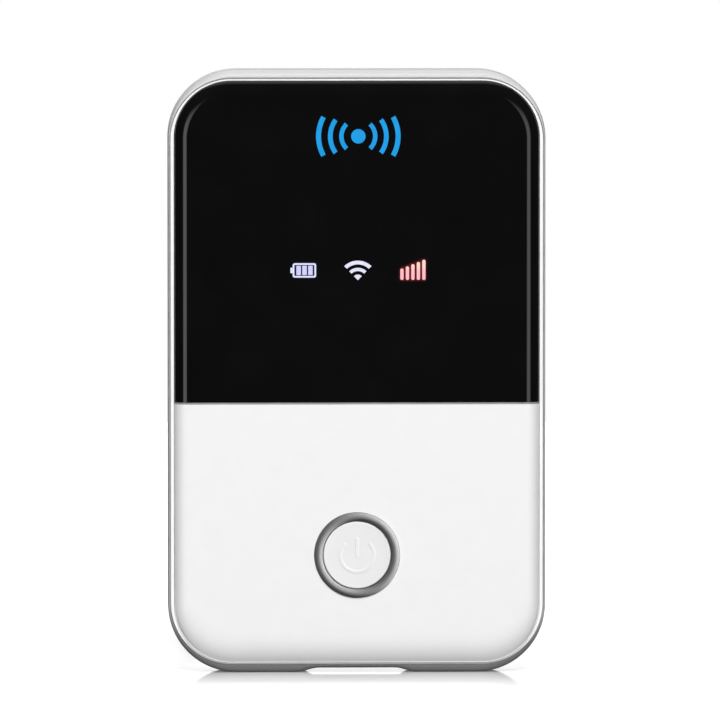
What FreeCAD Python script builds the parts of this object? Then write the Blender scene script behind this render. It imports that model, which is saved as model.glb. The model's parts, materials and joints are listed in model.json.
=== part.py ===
import FreeCAD, Part

# Pocket 4G router, standing upright on its USB end.
# X runs to the right, Y to the back and Z up; the origin is under the centre of the overall box.

import math
import os
import re

import Sketcher
from FreeCAD import Placement, Rotation, Vector

# Each row is a group of driving dimensions in millimetres. Depths are Y positions: the front is negative.
DIMENSIONS = {
    "overall": {
        "body_width": 60.4,
        "body_height": 96.5,
        "body_corner": 10.9,
        "overall_half_depth": 7.0,
        "mid_height": 48.25,
    },
    "frame band": {
        "frame_front": -4.3,
        "frame_back": 5.4,
        "flat_front": -3.1,
        "flat_back": 4.1,
        "side_tuck": 0.2,
        "end_tuck": 1.15,
        "cavity_width": 57.5,
        "cavity_height": 90.9,
        "cavity_corner": 8.0,
    },
    "charging notch": {
        "notch_mouth": 17.4,
        "notch_floor": 11.9,
        "notch_rise": 0.67,
        "port_width": 8.6,
        "port_depth": 3.3,
        "port_centre": -0.33,
    },
    "face": {
        "face_width": 58.4,
        "face_height": 93.1,
        "face_corner": 9.15,
        "face_front": -6.5,
        "rim_front": -4.9,
        "crown_inset": 2.4,
        "split_height": 43.3,
        "split_gap": 0.05,
        "window_back": -4.8,
        "recess_floor": -4.7,
        "recess_wall": 0.7,
        "skin_back": -5.2,
        "thick_margin": 4.0,
        "skirt_back": -2.6,
        "skirt_wall": 0.9,
        "slide_clearance": 0.1,
    },
    "trim ring": {
        "ring_width": 59.5,
        "ring_height": 93.6,
        "ring_corner": 9.7,
        "ring_bore_gap": 0.05,
        "shadow_gap": 0.2,
        "shadow_inset": 0.15,
    },
    "window adhesive": {
        "adhesive_width": 1.6,
        "adhesive_inset": 1.0,
    },
    "status lights": {
        "icon_height": 64.7,
        "icon_pitch": 8.75,
        "icon_slot_width": 6.4,
        "icon_slot_height": 3.6,
        "guide_width": 26.0,
        "guide_height": 6.0,
        "guide_base": 0.5,
        "guide_gap": 0.1,
        "baffle_thick": 0.7,
        "led_width": 1.6,
        "led_height": 0.8,
        "led_thick": 0.6,
    },
    "power button": {
        "button_height": 19.0,
        "bezel_outer": 6.85,
        "bezel_inner": 5.4,
        "bezel_back": -5.7,
        "cap_radius": 5.3,
        "cap_front": -6.7,
        "cap_edge_round": 0.25,
        "cap_bore": 5.42,
        "flange_radius": 6.1,
        "flange_front": -5.15,
        "flange_thick": 0.5,
        "plunger_radius": 1.6,
        "plunger_back": -4.0,
        "stem_radius": 0.85,
        "stem_back": -3.25,
        "switch_width": 4.2,
        "switch_front": -3.6,
        "switch_bore": 1.05,
        "switch_bore_floor": -2.85,
    },
    "main board": {
        "board_width": 56.4,
        "board_height": 89.6,
        "board_corner": 7.4,
        "board_front": -2.6,
        "board_back": -1.6,
        "boss_hole": 2.1,
    },
    "shields": {
        "shield_height": 1.3,
        "shield_wall": 0.2,
        "modem_left": -25.0,
        "modem_bottom": 28.0,
        "modem_width": 26.0,
        "modem_tall": 28.0,
        "wifi_left": 5.0,
        "wifi_bottom": 30.0,
        "wifi_width": 20.0,
        "wifi_tall": 22.0,
        "modem_chip_size": 12.0,
        "wifi_chip_size": 7.0,
        "chip_thick": 0.85,
        "pad_margin": 2.0,
        "pad_top": 42.0,
    },
    "antennas": {
        "antenna_thick": 0.3,
        "antenna_tall": 7.0,
        "antenna_width": 15.0,
        "antenna_edge": 25.0,
        "antenna_low": 8.6,
        "antenna_high": 81.4,
    },
    "charging port": {
        "usb_width": 7.5,
        "usb_thick": 2.5,
        "usb_bottom": 0.9,
        "usb_length": 5.4,
        "usb_wall": 0.3,
        "usb_tongue_width": 3.7,
        "usb_tongue_thick": 0.6,
        "usb_side_gap": 0.5,
        "usb_back_gap": 0.3,
    },
    "rear housing": {
        "tray_front": 0.2,
        "tray_floor": 1.0,
        "tray_back": 5.2,
        "tray_wall": 1.0,
        "bay_wall": 0.8,
        "post_radius": 1.8,
        "post_height": 24.0,
        "post_side": 20.0,
    },
    "battery": {
        "battery_width": 48.0,
        "battery_tall": 58.0,
        "battery_thick": 4.4,
        "battery_bottom": 9.5,
        "battery_round": 1.4,
        "bay_gap": 0.5,
        "battery_rest_gap": 0.1,
        "label_width": 34.0,
        "label_tall": 40.0,
        "label_thick": 0.1,
    },
    "battery contacts": {
        "contact_left": -16.0,
        "contact_bottom": 69.4,
        "contact_width": 11.0,
        "contact_tall": 3.2,
        "contact_back": 3.6,
        "contact_pitch": 2.6,
        "contact_blade": 1.0,
        "contact_reach": 1.85,
        "contact_blade_depth": 1.6,
        "contact_side_gap": 0.3,
        "contact_end_gap": 1.3,
    },
    "sim card": {
        "sim_width": 25.0,
        "sim_tall": 15.0,
        "sim_thick": 0.76,
        "sim_left": -19.0,
        "sim_bottom": 73.7,
        "sim_front": -1.25,
        "sim_corner": 3.0,
        "sim_travel": 18.0,
        "socket_margin": 0.9,
        "socket_back": -0.1,
        "socket_cover": 16.0,
        "socket_end_trim": 0.3,
        "sim_window_margin": 0.8,
    },
    "reset": {
        "reset_side": 20.0,
        "reset_height": 71.2,
        "reset_radius": 0.8,
        "reset_back": 1.1,
        "reset_front": -0.75,
        "reset_hole": 0.95,
        "reset_switch_width": 2.6,
        "reset_switch_back": -0.45,
        "reset_bore_floor": -1.3,
    },
    "screws": {
        "screw_low_side": 22.0,
        "screw_low_height": 6.4,
        "screw_top_side": 21.3,
        "screw_top_height": 90.6,
        "screw_radius": 0.7,
        "screw_clearance": 0.02,
        "screw_hole": 0.9,
        "head_radius": 1.3,
        "head_thick": 0.8,
        "housing_screw_front": -3.2,
        "board_screw_back": 0.6,
        "boss_radius": 1.9,
    },
    "battery cover": {
        "cover_width": 59.5,
        "cover_height": 93.8,
        "cover_corner": 9.9,
        "cover_shoulder": 5.9,
        "cover_crown_inset": 2.6,
        "cover_inside": 6.0,
        "tab_front": 4.2,
        "tab_width": 6.0,
        "tab_thick": 0.6,
        "tab_gap": 0.2,
        "tab_down": 24.0,
        "tab_up": 18.0,
        "tab_side": 12.0,
        "nail_radius": 4.0,
        "nail_side": 18.0,
        "nail_depth": 0.7,
    },
    "small board parts": {
        "capacitor_width": 1.2,
        "capacitor_tall": 2.0,
        "capacitor_thick": 0.9,
        "capacitor_pitch": 3.2,
        "capacitor_left": 8.0,
        "capacitor_height": 56.5,
    },
}

SHEET_NAME = "dims"
PILLOW_ANGLES = (0, 30, 60, 90)
BAND_ANGLES = (0, 20, 45, 70, 90)
SIDES = (-1, 1)
CAPACITOR_COUNT = 5

doc = FreeCAD.newDocument("pocket_router")
sub_parts = []


def make_sheet():
    """Fill the sheet with one row for each driving dimension."""
    sheet = doc.addObject("Spreadsheet::Sheet", SHEET_NAME)
    row = 1
    for group, entries in DIMENSIONS.items():
        sheet.set(f"A{row}", group)
        row += 1
        for alias, size in entries.items():
            sheet.set(f"A{row}", alias.replace("_", " "))
            sheet.set(f"B{row}", str(size))
            sheet.setAlias(f"B{row}", alias)
            row += 1
    doc.recompute()
    return sheet


sheet = make_sheet()


# ---------------------------------------------------------------- general helpers

def in_sheet(text):
    """Turn bare aliases in an expression into references to the sheet."""
    return re.sub(r"[a-z][a-z_]+", lambda word: f"{SHEET_NAME}.{word.group()}", str(text))


def size_of(text):
    """The number that an expression of aliases stands for."""
    return float(sheet.evalExpression(in_sheet(text).replace(f"{SHEET_NAME}.", "")))


def bind(item, prop, text):
    item.setExpression(prop, in_sheet(text))


def place(item, x, y, z):
    """Bind a position to three expressions."""
    bind(item, "Placement.Base.x", x)
    bind(item, "Placement.Base.y", y)
    bind(item, "Placement.Base.z", z)


def keep(item, label):
    """Name a finished sub-part and remember it for export."""
    item.Label = label
    sub_parts.append(item)
    return item


def new_body(label):
    return keep(doc.addObject("PartDesign::Body", label), label)


def origin_plane(body, role):
    return next(feature for feature in body.Origin.OriginFeatures if feature.Role == role)


def front_sketch(body, name, depth):
    """A sketch seen from the front: its x is X, its y is Z, and it lies at the given depth."""
    sketch = body.newObject("Sketcher::SketchObject", name)
    sketch.AttachmentSupport = [(origin_plane(body, "XZ_Plane"), "")]
    sketch.MapMode = "FlatFace"
    bind(sketch, "AttachmentOffset.Base.z", f"-({depth})")
    return sketch


def side_sketch(body, name):
    """A sketch in the middle plane seen from the right: its x is Y and its y is Z."""
    sketch = body.newObject("Sketcher::SketchObject", name)
    sketch.AttachmentSupport = [(origin_plane(body, "YZ_Plane"), "")]
    sketch.MapMode = "FlatFace"
    return sketch


def fix(sketch, kind, geometry, point, text):
    """Hold one coordinate of a point at an expression."""
    index = sketch.addConstraint(
        Sketcher.Constraint(kind, -1, 1, geometry, point, size_of(text)))
    bind(sketch, f"Constraints[{index}]", text)


def polygon(sketch, corners):
    """A closed outline of straight lines through pairs of expressions."""
    base = sketch.GeometryCount
    count = len(corners)
    points = [Vector(size_of(x), size_of(z), 0) for x, z in corners]
    for start, end in zip(points, points[1:] + points[:1]):
        sketch.addGeometry(Part.LineSegment(start, end))
    for index in range(count):
        following = base + (index + 1) % count
        sketch.addConstraint(Sketcher.Constraint("Coincident", base + index, 2, following, 1))
    for index, (x, z) in enumerate(corners):
        fix(sketch, "DistanceX", base + index, 1, x)
        fix(sketch, "DistanceY", base + index, 1, z)


def rectangle(sketch, left, bottom, width, height):
    right = f"{left} + {width}"
    top = f"{bottom} + {height}"
    polygon(sketch, [(left, bottom), (right, bottom), (right, top), (left, top)])


def circle(sketch, x, z, radius):
    centre = Vector(size_of(x), size_of(z), 0)
    index = sketch.addGeometry(Part.Circle(centre, Vector(0, 0, 1), size_of(radius)))
    fix(sketch, "DistanceX", index, 3, x)
    fix(sketch, "DistanceY", index, 3, z)
    radius_index = sketch.addConstraint(Sketcher.Constraint("Radius", index, size_of(radius)))
    bind(sketch, f"Constraints[{radius_index}]", radius)


def rounded_outline(sketch, width, height, corner, x="0", z="mid_height"):
    """A rectangle with tangent corner arcs, centred on x and z."""
    base = sketch.GeometryCount
    half_w = size_of(width) / 2
    half_h = size_of(height) / 2
    radius = size_of(corner)
    centre = Vector(size_of(x), size_of(z), 0)
    quarter = math.pi / 2
    for turn in range(4):
        reach = (half_w, half_h) if turn % 2 else (half_h, half_w)
        direction = turn * quarter
        outward = Vector(math.sin(direction), -math.cos(direction), 0)
        along = Vector(math.cos(direction), math.sin(direction), 0)
        middle = centre + outward * reach[0]
        straight = along * (reach[1] - radius)
        sketch.addGeometry(Part.LineSegment(middle - straight, middle + straight))
        round_centre = middle + straight - outward * radius
        full_circle = Part.Circle(round_centre, Vector(0, 0, 1), radius)
        sketch.addGeometry(Part.ArcOfCircle(full_circle, direction - quarter, direction))
    for step in range(8):
        following = base + (step + 1) % 8
        sketch.addConstraint(Sketcher.Constraint("Tangent", base + step, 2, following, 1))
    for line, kind in ((0, "Horizontal"), (2, "Vertical"), (4, "Horizontal"), (6, "Vertical")):
        sketch.addConstraint(Sketcher.Constraint(kind, base + line))
    for arc in (3, 5, 7):
        sketch.addConstraint(Sketcher.Constraint("Equal", base + 1, base + arc))
    radius_index = sketch.addConstraint(Sketcher.Constraint("Radius", base + 1, radius))
    bind(sketch, f"Constraints[{radius_index}]", corner)
    fix(sketch, "DistanceY", base, 1, f"{z} - ({height}) / 2")
    fix(sketch, "DistanceX", base + 2, 1, f"{x} + ({width}) / 2")
    fix(sketch, "DistanceY", base + 4, 1, f"{z} + ({height}) / 2")
    fix(sketch, "DistanceX", base + 6, 1, f"{x} - ({width}) / 2")


def pad(body, sketch, length):
    """Extrude a front sketch towards the back."""
    feature = body.newObject("PartDesign::Pad", "Pad")
    feature.Profile = sketch
    feature.Reversed = True
    bind(feature, "Length", length)
    return feature


def pocket(body, sketch, length):
    """Cut a front sketch towards the back, and make sure that it removed something."""
    doc.recompute()
    before = body.Shape.Volume
    feature = body.newObject("PartDesign::Pocket", "Pocket")
    feature.Profile = sketch
    bind(feature, "Length", length)
    doc.recompute()
    if body.Shape.Volume >= before:
        raise RuntimeError(f"{body.Label}: a pocket cut nothing")
    return feature


def crown(body, name, outline, from_depth, to_depth, side_inset, end_inset, angles=PILLOW_ANGLES):
    """Loft an outline into a smaller one along a quarter ellipse, so that its edge is rounded."""
    width, height, corner = outline
    sections = []
    for angle in angles:
        inset = 1 - math.cos(math.radians(angle))
        rise = math.sin(math.radians(angle))
        depth = f"{from_depth} + ({to_depth} - ({from_depth})) * {rise:.6f}"
        sketch = front_sketch(body, f"{name}_{angle}", depth)
        rounded_outline(
            sketch,
            f"{width} - 2 * {side_inset} * {inset:.6f}",
            f"{height} - 2 * {end_inset} * {inset:.6f}",
            f"{corner} - ({side_inset} + {end_inset}) / 2 * {inset:.6f}",
        )
        sections.append(sketch)
    loft = body.newObject("PartDesign::AdditiveLoft", name)
    loft.Profile = sections[0]
    loft.Sections = sections[1:]
    return loft


def box(x, y, z, width, depth, height):
    """A block with its low corner at x, y, z."""
    item = doc.addObject("Part::Box", "Box")
    bind(item, "Length", width)
    bind(item, "Width", depth)
    bind(item, "Height", height)
    place(item, x, y, z)
    return item


def cylinder(x, z, front, back, radius):
    """A round bar along Y from the front depth to the back depth."""
    item = doc.addObject("Part::Cylinder", "Cylinder")
    item.Placement = Placement(Vector(0, 0, 0), Rotation(Vector(1, 0, 0), -90))
    bind(item, "Radius", radius)
    bind(item, "Height", f"{back} - ({front})")
    place(item, x, front, z)
    return item


def cut(base, tool):
    item = doc.addObject("Part::Cut", "Cut")
    item.Base = base
    item.Tool = tool
    return item


def fuse(*pieces):
    item = doc.addObject("Part::MultiFuse", "Fusion")
    item.Shapes = list(pieces)
    return item


def group(*pieces):
    """Several separate solids kept together as one sub-part."""
    item = doc.addObject("Part::Compound", "Group")
    item.Links = list(pieces)
    return item


def screw_places():
    """The four housing screws as pairs of expressions."""
    rows = (("screw_low_side", "screw_low_height"), ("screw_top_side", "screw_top_height"))
    return [(f"{side} * {across}", up) for across, up in rows for side in SIDES]


def board_screw_places():
    return [(f"{side} * post_side", "post_height") for side in SIDES]


def icon_places():
    """The middle of each status light window, left to right."""
    return [f"{step} * icon_pitch" for step in (-1, 0, 1)]


# ---------------------------------------------------------------- housing

BODY_OUTLINE = ("body_width", "body_height", "body_corner")
FACE_OUTLINE = ("face_width", "face_height", "face_corner")
COVER_OUTLINE = ("cover_width", "cover_height", "cover_corner")


def make_mid_frame():
    """The silver band round the middle, with tucked ends and the charging notch."""
    body = new_body("mid_frame")
    flat = front_sketch(body, "flat_band", "flat_front")
    rounded_outline(flat, *BODY_OUTLINE)
    pad(body, flat, "flat_back - flat_front")
    tucks = ("side_tuck", "end_tuck", BAND_ANGLES)
    crown(body, "front_turn", BODY_OUTLINE, "flat_front", "frame_front", *tucks)
    crown(body, "back_turn", BODY_OUTLINE, "flat_back", "frame_back", *tucks)
    cavity = front_sketch(body, "cavity", "frame_front - 1")
    rounded_outline(cavity, "cavity_width", "cavity_height", "cavity_corner")
    pocket(body, cavity, "frame_back - frame_front + 2")
    notch = front_sketch(body, "notch", "frame_front - 1")
    polygon(notch, [
        ("-notch_mouth / 2", "0"),
        ("-notch_floor / 2", "notch_rise"),
        ("notch_floor / 2", "notch_rise"),
        ("notch_mouth / 2", "0"),
        ("notch_mouth / 2", "-1"),
        ("-notch_mouth / 2", "-1"),
    ])
    pocket(body, notch, "frame_back - frame_front + 2")
    port = front_sketch(body, "port", "port_centre - port_depth / 2")
    rectangle(port, "-port_width / 2", "-1", "port_width", "6")
    pocket(body, port, "port_depth")
    return body


def make_trim_ring():
    """The bright ring between the face and the band, stepped at the back for a shadow gap."""
    body = new_body("trim_ring")
    outer = front_sketch(body, "outer", "rim_front")
    rounded_outline(outer, "ring_width", "ring_height", "ring_corner")
    pad(body, outer, "frame_front - rim_front - shadow_gap")
    foot = front_sketch(body, "foot", "frame_front - shadow_gap")
    rounded_outline(foot, "ring_width - 2 * shadow_inset", "ring_height - 2 * shadow_inset",
                    "ring_corner - shadow_inset")
    pad(body, foot, "shadow_gap")
    bore = front_sketch(body, "bore", "rim_front - 1")
    rounded_outline(bore, "face_width + 2 * ring_bore_gap", "face_height + 2 * ring_bore_gap",
                    "face_corner + ring_bore_gap")
    pocket(body, bore, "frame_front - rim_front + 2")
    return body


def make_front_shell():
    """The white front moulding: face, recess for the window, skirt and screw bosses."""
    body = new_body("front_shell")
    flange = front_sketch(body, "flange", "rim_front")
    rounded_outline(flange, *FACE_OUTLINE)
    pad(body, flange, "frame_front - rim_front")
    crown(body, "face_crown", FACE_OUTLINE, "rim_front", "face_front", "crown_inset", "crown_inset")
    plug = front_sketch(body, "plug", "frame_front")
    rounded_outline(plug, "cavity_width - 2 * slide_clearance", "cavity_height - 2 * slide_clearance",
                    "cavity_corner - slide_clearance")
    pad(body, plug, "skirt_back - frame_front")
    recess = front_sketch(body, "window_recess", "face_front - 1")
    rectangle(recess, "-face_width / 2 - 1", "split_height", "face_width + 2", "body_height - split_height")
    pocket(body, recess, "recess_floor - face_front + 1")
    inner_width = "(cavity_width - 2 * slide_clearance - 2 * skirt_wall)"
    inner_height = "(cavity_height - 2 * slide_clearance - 2 * skirt_wall)"
    hollow = front_sketch(body, "hollow", "recess_floor + recess_wall")
    rounded_outline(hollow, inner_width, inner_height, "cavity_corner - slide_clearance - skirt_wall")
    pocket(body, hollow, "skirt_back - recess_floor")
    lower = front_sketch(body, "lower_hollow", "skin_back")
    polygon(lower, [
        (f"-{inner_width} / 2 + thick_margin", f"mid_height - {inner_height} / 2 + thick_margin"),
        (f"{inner_width} / 2 - thick_margin", f"mid_height - {inner_height} / 2 + thick_margin"),
        (f"{inner_width} / 2 - thick_margin", "split_height - recess_wall"),
        (f"-{inner_width} / 2 + thick_margin", "split_height - recess_wall"),
    ])
    pocket(body, lower, "recess_floor + recess_wall - skin_back + slide_clearance")
    slots = front_sketch(body, "icon_slots", "recess_floor - 0.1")
    for middle in icon_places():
        rectangle(slots, f"{middle} - icon_slot_width / 2", "icon_height - icon_slot_height / 2",
                  "icon_slot_width", "icon_slot_height")
    pocket(body, slots, "recess_wall + 0.2")
    bosses = front_sketch(body, "bosses", "recess_floor + recess_wall")
    for x, z in screw_places():
        circle(bosses, x, z, "boss_radius")
    pad(body, bosses, "tray_front - recess_floor - recess_wall")
    bores = front_sketch(body, "boss_bores", "housing_screw_front")
    for x, z in screw_places():
        circle(bores, x, z, "screw_radius + screw_clearance")
    pocket(body, bores, "tray_front - housing_screw_front + 0.1")
    seat = front_sketch(body, "bezel_seat", "face_front - 1")
    circle(seat, "0", "button_height", "bezel_outer + screw_clearance")
    pocket(body, seat, "bezel_back - face_front + 1")
    button = front_sketch(body, "button_bore", "face_front - 1")
    circle(button, "0", "button_height", "cap_bore")
    pocket(body, button, "recess_floor - face_front + 2")
    return body


def make_display_window():
    """The black gloss panel over the upper face; its back carries the status icons."""
    body = new_body("display_window")
    plate = front_sketch(body, "plate", "rim_front")
    rounded_outline(plate, *FACE_OUTLINE)
    pad(body, plate, "window_back - rim_front")
    crown(body, "window_crown", FACE_OUTLINE, "rim_front", "face_front", "crown_inset", "crown_inset")
    lower = front_sketch(body, "below_split", "face_front - 1")
    rectangle(lower, "-face_width", "-10", "2 * face_width", "10 + split_height + split_gap")
    pocket(body, lower, "window_back - face_front + 2")
    return body


def make_window_adhesive():
    """The frame of tape between the window and the recess floor."""
    body = new_body("window_adhesive")
    outer_width = "(face_width - 2 * adhesive_inset)"
    sheet_top = "(mid_height + face_height / 2 - adhesive_inset)"
    sheet_bottom = "(split_height + adhesive_inset)"
    middle = f"({sheet_top} + {sheet_bottom}) / 2"
    tall = f"({sheet_top} - {sheet_bottom})"
    outer = front_sketch(body, "outer", "window_back")
    rounded_outline(outer, outer_width, tall, "face_corner - adhesive_inset", "0", middle)
    pad(body, outer, "recess_floor - window_back")
    inner = front_sketch(body, "inner", "window_back - 1")
    rounded_outline(inner, f"{outer_width} - 2 * adhesive_width", f"{tall} - 2 * adhesive_width",
                    "face_corner - adhesive_inset - adhesive_width", "0", middle)
    pocket(body, inner, "2")
    return body


def make_rear_housing():
    """The inner tray: battery bay, SIM opening, posts for the board and holes for the screws."""
    body = new_body("rear_housing")
    outer = front_sketch(body, "outer", "tray_front")
    rounded_outline(outer, "cavity_width - 2 * slide_clearance", "cavity_height - 2 * slide_clearance",
                    "cavity_corner - slide_clearance")
    pad(body, outer, "tray_back - tray_front")
    inside = front_sketch(body, "inside", "tray_floor")
    rounded_outline(inside, "cavity_width - 2 * slide_clearance - 2 * tray_wall",
                    "cavity_height - 2 * slide_clearance - 2 * tray_wall",
                    "cavity_corner - slide_clearance - tray_wall")
    pocket(body, inside, "tray_back - tray_floor + 1")
    bay_width = "(battery_width + 2 * bay_gap)"
    bay_tall = "(battery_tall + 2 * bay_gap)"
    walls = front_sketch(body, "bay_walls", "tray_floor")
    rectangle(walls, f"-{bay_width} / 2 - bay_wall", "battery_bottom - bay_gap - bay_wall",
              f"{bay_width} + 2 * bay_wall", f"{bay_tall} + 2 * bay_wall")
    rectangle(walls, f"-{bay_width} / 2", "battery_bottom - bay_gap", bay_width, bay_tall)
    pad(body, walls, "tray_back - tray_floor")
    contact_gap = front_sketch(body, "contact_gap", "tray_front - 1")
    rectangle(contact_gap, "contact_left - contact_side_gap", "contact_bottom - bay_wall - contact_end_gap",
              "contact_width + 2 * contact_side_gap",
              "contact_tall + bay_wall + contact_end_gap + contact_side_gap")
    pocket(body, contact_gap, "tray_back - tray_front + 1.1")
    sim_window = front_sketch(body, "sim_window", "tray_front - 1")
    rectangle(sim_window, "sim_left - socket_margin - sim_window_margin", "sim_bottom - sim_window_margin",
              "sim_width + sim_travel + socket_margin + 2 * sim_window_margin",
              "sim_tall + 2 * sim_window_margin")
    pocket(body, sim_window, "tray_floor - tray_front + 1.1")
    usb_relief = front_sketch(body, "usb_relief", "tray_front - 1")
    rectangle(usb_relief, "-usb_width / 2 - usb_side_gap", "0", "usb_width + 2 * usb_side_gap",
              "usb_bottom + usb_length + usb_side_gap")
    pocket(body, usb_relief, "tray_floor - tray_front + 1 + usb_back_gap")
    screw_holes = front_sketch(body, "screw_holes", "tray_front - 1")
    for x, z in screw_places():
        circle(screw_holes, x, z, "screw_hole")
    circle(screw_holes, "reset_side", "reset_height", "reset_hole")
    pocket(body, screw_holes, "tray_floor - tray_front + 1.1")
    posts = front_sketch(body, "posts", "board_back")
    for x, z in board_screw_places():
        circle(posts, x, z, "post_radius")
    pad(body, posts, "tray_front - board_back")
    post_bores = front_sketch(body, "post_bores", "board_back - 0.1")
    for x, z in board_screw_places():
        circle(post_bores, x, z, "screw_radius + screw_clearance")
    pocket(body, post_bores, "board_screw_back - board_back + 0.15")
    return body


def make_battery_cover():
    """The removable back cover with a rounded edge, four snap tabs and a nail notch."""
    body = new_body("battery_cover")
    shoulder = front_sketch(body, "shoulder", "frame_back")
    rounded_outline(shoulder, *COVER_OUTLINE)
    pad(body, shoulder, "cover_shoulder - frame_back")
    crown(body, "cover_crown", COVER_OUTLINE, "cover_shoulder", "overall_half_depth",
          "cover_crown_inset", "cover_crown_inset")
    inside = front_sketch(body, "inside", "frame_back")
    rounded_outline(inside, "cover_width - 2 * cover_crown_inset", "cover_height - 2 * cover_crown_inset",
                    "cover_corner - cover_crown_inset")
    pocket(body, inside, "cover_inside - frame_back")
    tabs = front_sketch(body, "tabs", "tab_front")
    tray_half_width = "(cavity_width / 2 - slide_clearance - tray_wall)"
    tray_half_height = "(cavity_height / 2 - slide_clearance - tray_wall)"
    for side in SIDES:
        for up in ("mid_height - tab_down", "mid_height + tab_up"):
            rectangle(tabs, f"{side} * ({tray_half_width} - tab_gap - tab_thick / 2) - tab_thick / 2", up,
                      "tab_thick", "tab_width")
        rectangle(tabs, f"{side} * tab_side - tab_width / 2",
                  f"mid_height + {side} * ({tray_half_height} - tab_gap - tab_thick / 2) - tab_thick / 2",
                  "tab_width", "tab_thick")
    pad(body, tabs, "cover_inside - tab_front")
    nail = front_sketch(body, "nail_notch", "frame_back")
    circle(nail, "nail_side", "mid_height - cover_height / 2 - nail_radius + nail_depth", "nail_radius")
    pocket(body, nail, "cover_shoulder - frame_back")
    return body


# ---------------------------------------------------------------- power button

def revolve(body, sketch):
    """Turn a side sketch about a construction line along Y through the button's centre."""
    low = Vector(size_of("face_front"), size_of("button_height"), 0)
    high = Vector(size_of("board_front"), size_of("button_height"), 0)
    axis = sketch.addGeometry(Part.LineSegment(low, high), True)
    fix(sketch, "DistanceX", axis, 1, "face_front")
    fix(sketch, "DistanceY", axis, 1, "button_height")
    fix(sketch, "DistanceX", axis, 2, "board_front")
    fix(sketch, "DistanceY", axis, 2, "button_height")
    feature = body.newObject("PartDesign::Revolution", "Turned")
    feature.Profile = sketch
    feature.ReferenceAxis = (sketch, ["Axis0"])
    feature.Angle = 360
    return feature


def make_button_bezel():
    """The polished bead that frames the power button, with a round front and a square foot."""
    body = new_body("button_bezel")
    sketch = side_sketch(body, "bead")
    inner = "button_height + bezel_inner"
    outer = "button_height + bezel_outer"
    shoulder = "-overall_half_depth + (bezel_outer - bezel_inner) / 2"
    corners = [(shoulder, outer), ("bezel_back", outer), ("bezel_back", inner), (shoulder, inner)]
    points = [Vector(size_of(depth), size_of(up), 0) for depth, up in corners]
    for start, end in zip(points, points[1:]):
        sketch.addGeometry(Part.LineSegment(start, end))
    crest = Vector(-size_of("overall_half_depth"), (points[0].y + points[3].y) / 2, 0)
    arc = sketch.addGeometry(Part.Arc(points[0], crest, points[3]))
    for line in (0, 1):
        sketch.addConstraint(Sketcher.Constraint("Coincident", line, 2, line + 1, 1))
    for line, (depth, up) in enumerate(corners[:3]):
        fix(sketch, "DistanceX", line, 1, depth)
        fix(sketch, "DistanceY", line, 1, up)
    fix(sketch, "DistanceX", 2, 2, corners[3][0])
    fix(sketch, "DistanceY", 2, 2, corners[3][1])
    starts_outside = sketch.getPoint(arc, 1).y > sketch.getPoint(arc, 2).y
    outside, inside = (1, 2) if starts_outside else (2, 1)
    sketch.addConstraint(Sketcher.Constraint("Tangent", arc, outside, 0, 1))
    sketch.addConstraint(Sketcher.Constraint("Coincident", arc, inside, 2, 2))
    revolve(body, sketch)
    return body


def make_power_button():
    """The round cap that moves, with a flange that keeps it behind the face."""
    body = new_body("power_button")
    sketch = side_sketch(body, "half_section")
    flange_back = "flange_front + flange_thick"
    polygon(sketch, [
        ("cap_front", "button_height"),
        ("cap_front", "button_height + cap_radius - cap_edge_round"),
        ("cap_front + cap_edge_round", "button_height + cap_radius"),
        ("flange_front", "button_height + cap_radius"),
        ("flange_front", "button_height + flange_radius"),
        (flange_back, "button_height + flange_radius"),
        (flange_back, "button_height"),
    ])
    revolve(body, sketch)
    return body


def make_button_plunger():
    """The rubber pad between the cap and the switch."""
    front = "flange_front + flange_thick"
    return keep(cylinder("0", "button_height", front, "plunger_back", "plunger_radius"),
                "button_plunger")


def make_switch_stem():
    return keep(cylinder("0", "button_height", "plunger_back", "stem_back", "stem_radius"),
                "switch_stem")


def make_power_switch():
    """The square tact switch under the button, bored for its stem."""
    can = box("-switch_width / 2", "switch_front", "button_height - switch_width / 2",
              "switch_width", "board_front - switch_front", "switch_width")
    bore = cylinder("0", "button_height", "switch_front - 1", "switch_bore_floor", "switch_bore")
    return keep(cut(can, bore), "power_switch")


# ---------------------------------------------------------------- lights behind the window

def make_light_guide():
    """The clear bar with three posts that carry light to the icons."""
    front = "recess_floor + guide_gap"
    base_front = "recess_floor + recess_wall + guide_gap"
    bar = box("-guide_width / 2", base_front, "icon_height - guide_height / 2",
              "guide_width", "guide_base", "guide_height")
    posts = [
        box(f"{middle} - icon_slot_width / 2 + guide_gap", front,
            "icon_height - icon_slot_height / 2 + guide_gap", "icon_slot_width - 2 * guide_gap",
            f"{base_front} - ({front})", "icon_slot_height - 2 * guide_gap")
        for middle in icon_places()
    ]
    return keep(fuse(bar, *posts), "light_guide")


def make_light_baffle():
    """The foam strip that keeps each light in its own cell."""
    strip = box("-guide_width / 2", "board_front - baffle_thick", "icon_height - guide_height / 2",
                "guide_width", "baffle_thick", "guide_height")
    cells = [
        box(f"{middle} - icon_slot_width / 2", "board_front - 2 * baffle_thick",
            "icon_height - icon_slot_height / 2", "icon_slot_width", "3 * baffle_thick",
            "icon_slot_height")
        for middle in icon_places()
    ]
    return keep(cut(strip, fuse(*cells)), "light_baffle")


def make_status_leds():
    """One light for each icon, on the front of the board."""
    lights = [
        box(f"{middle} - led_width / 2", "board_front - led_thick", "icon_height - led_height / 2",
            "led_width", "led_thick", "led_height")
        for middle in icon_places()
    ]
    return keep(group(*lights), "status_leds")


# ---------------------------------------------------------------- main board and what it carries

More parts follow.
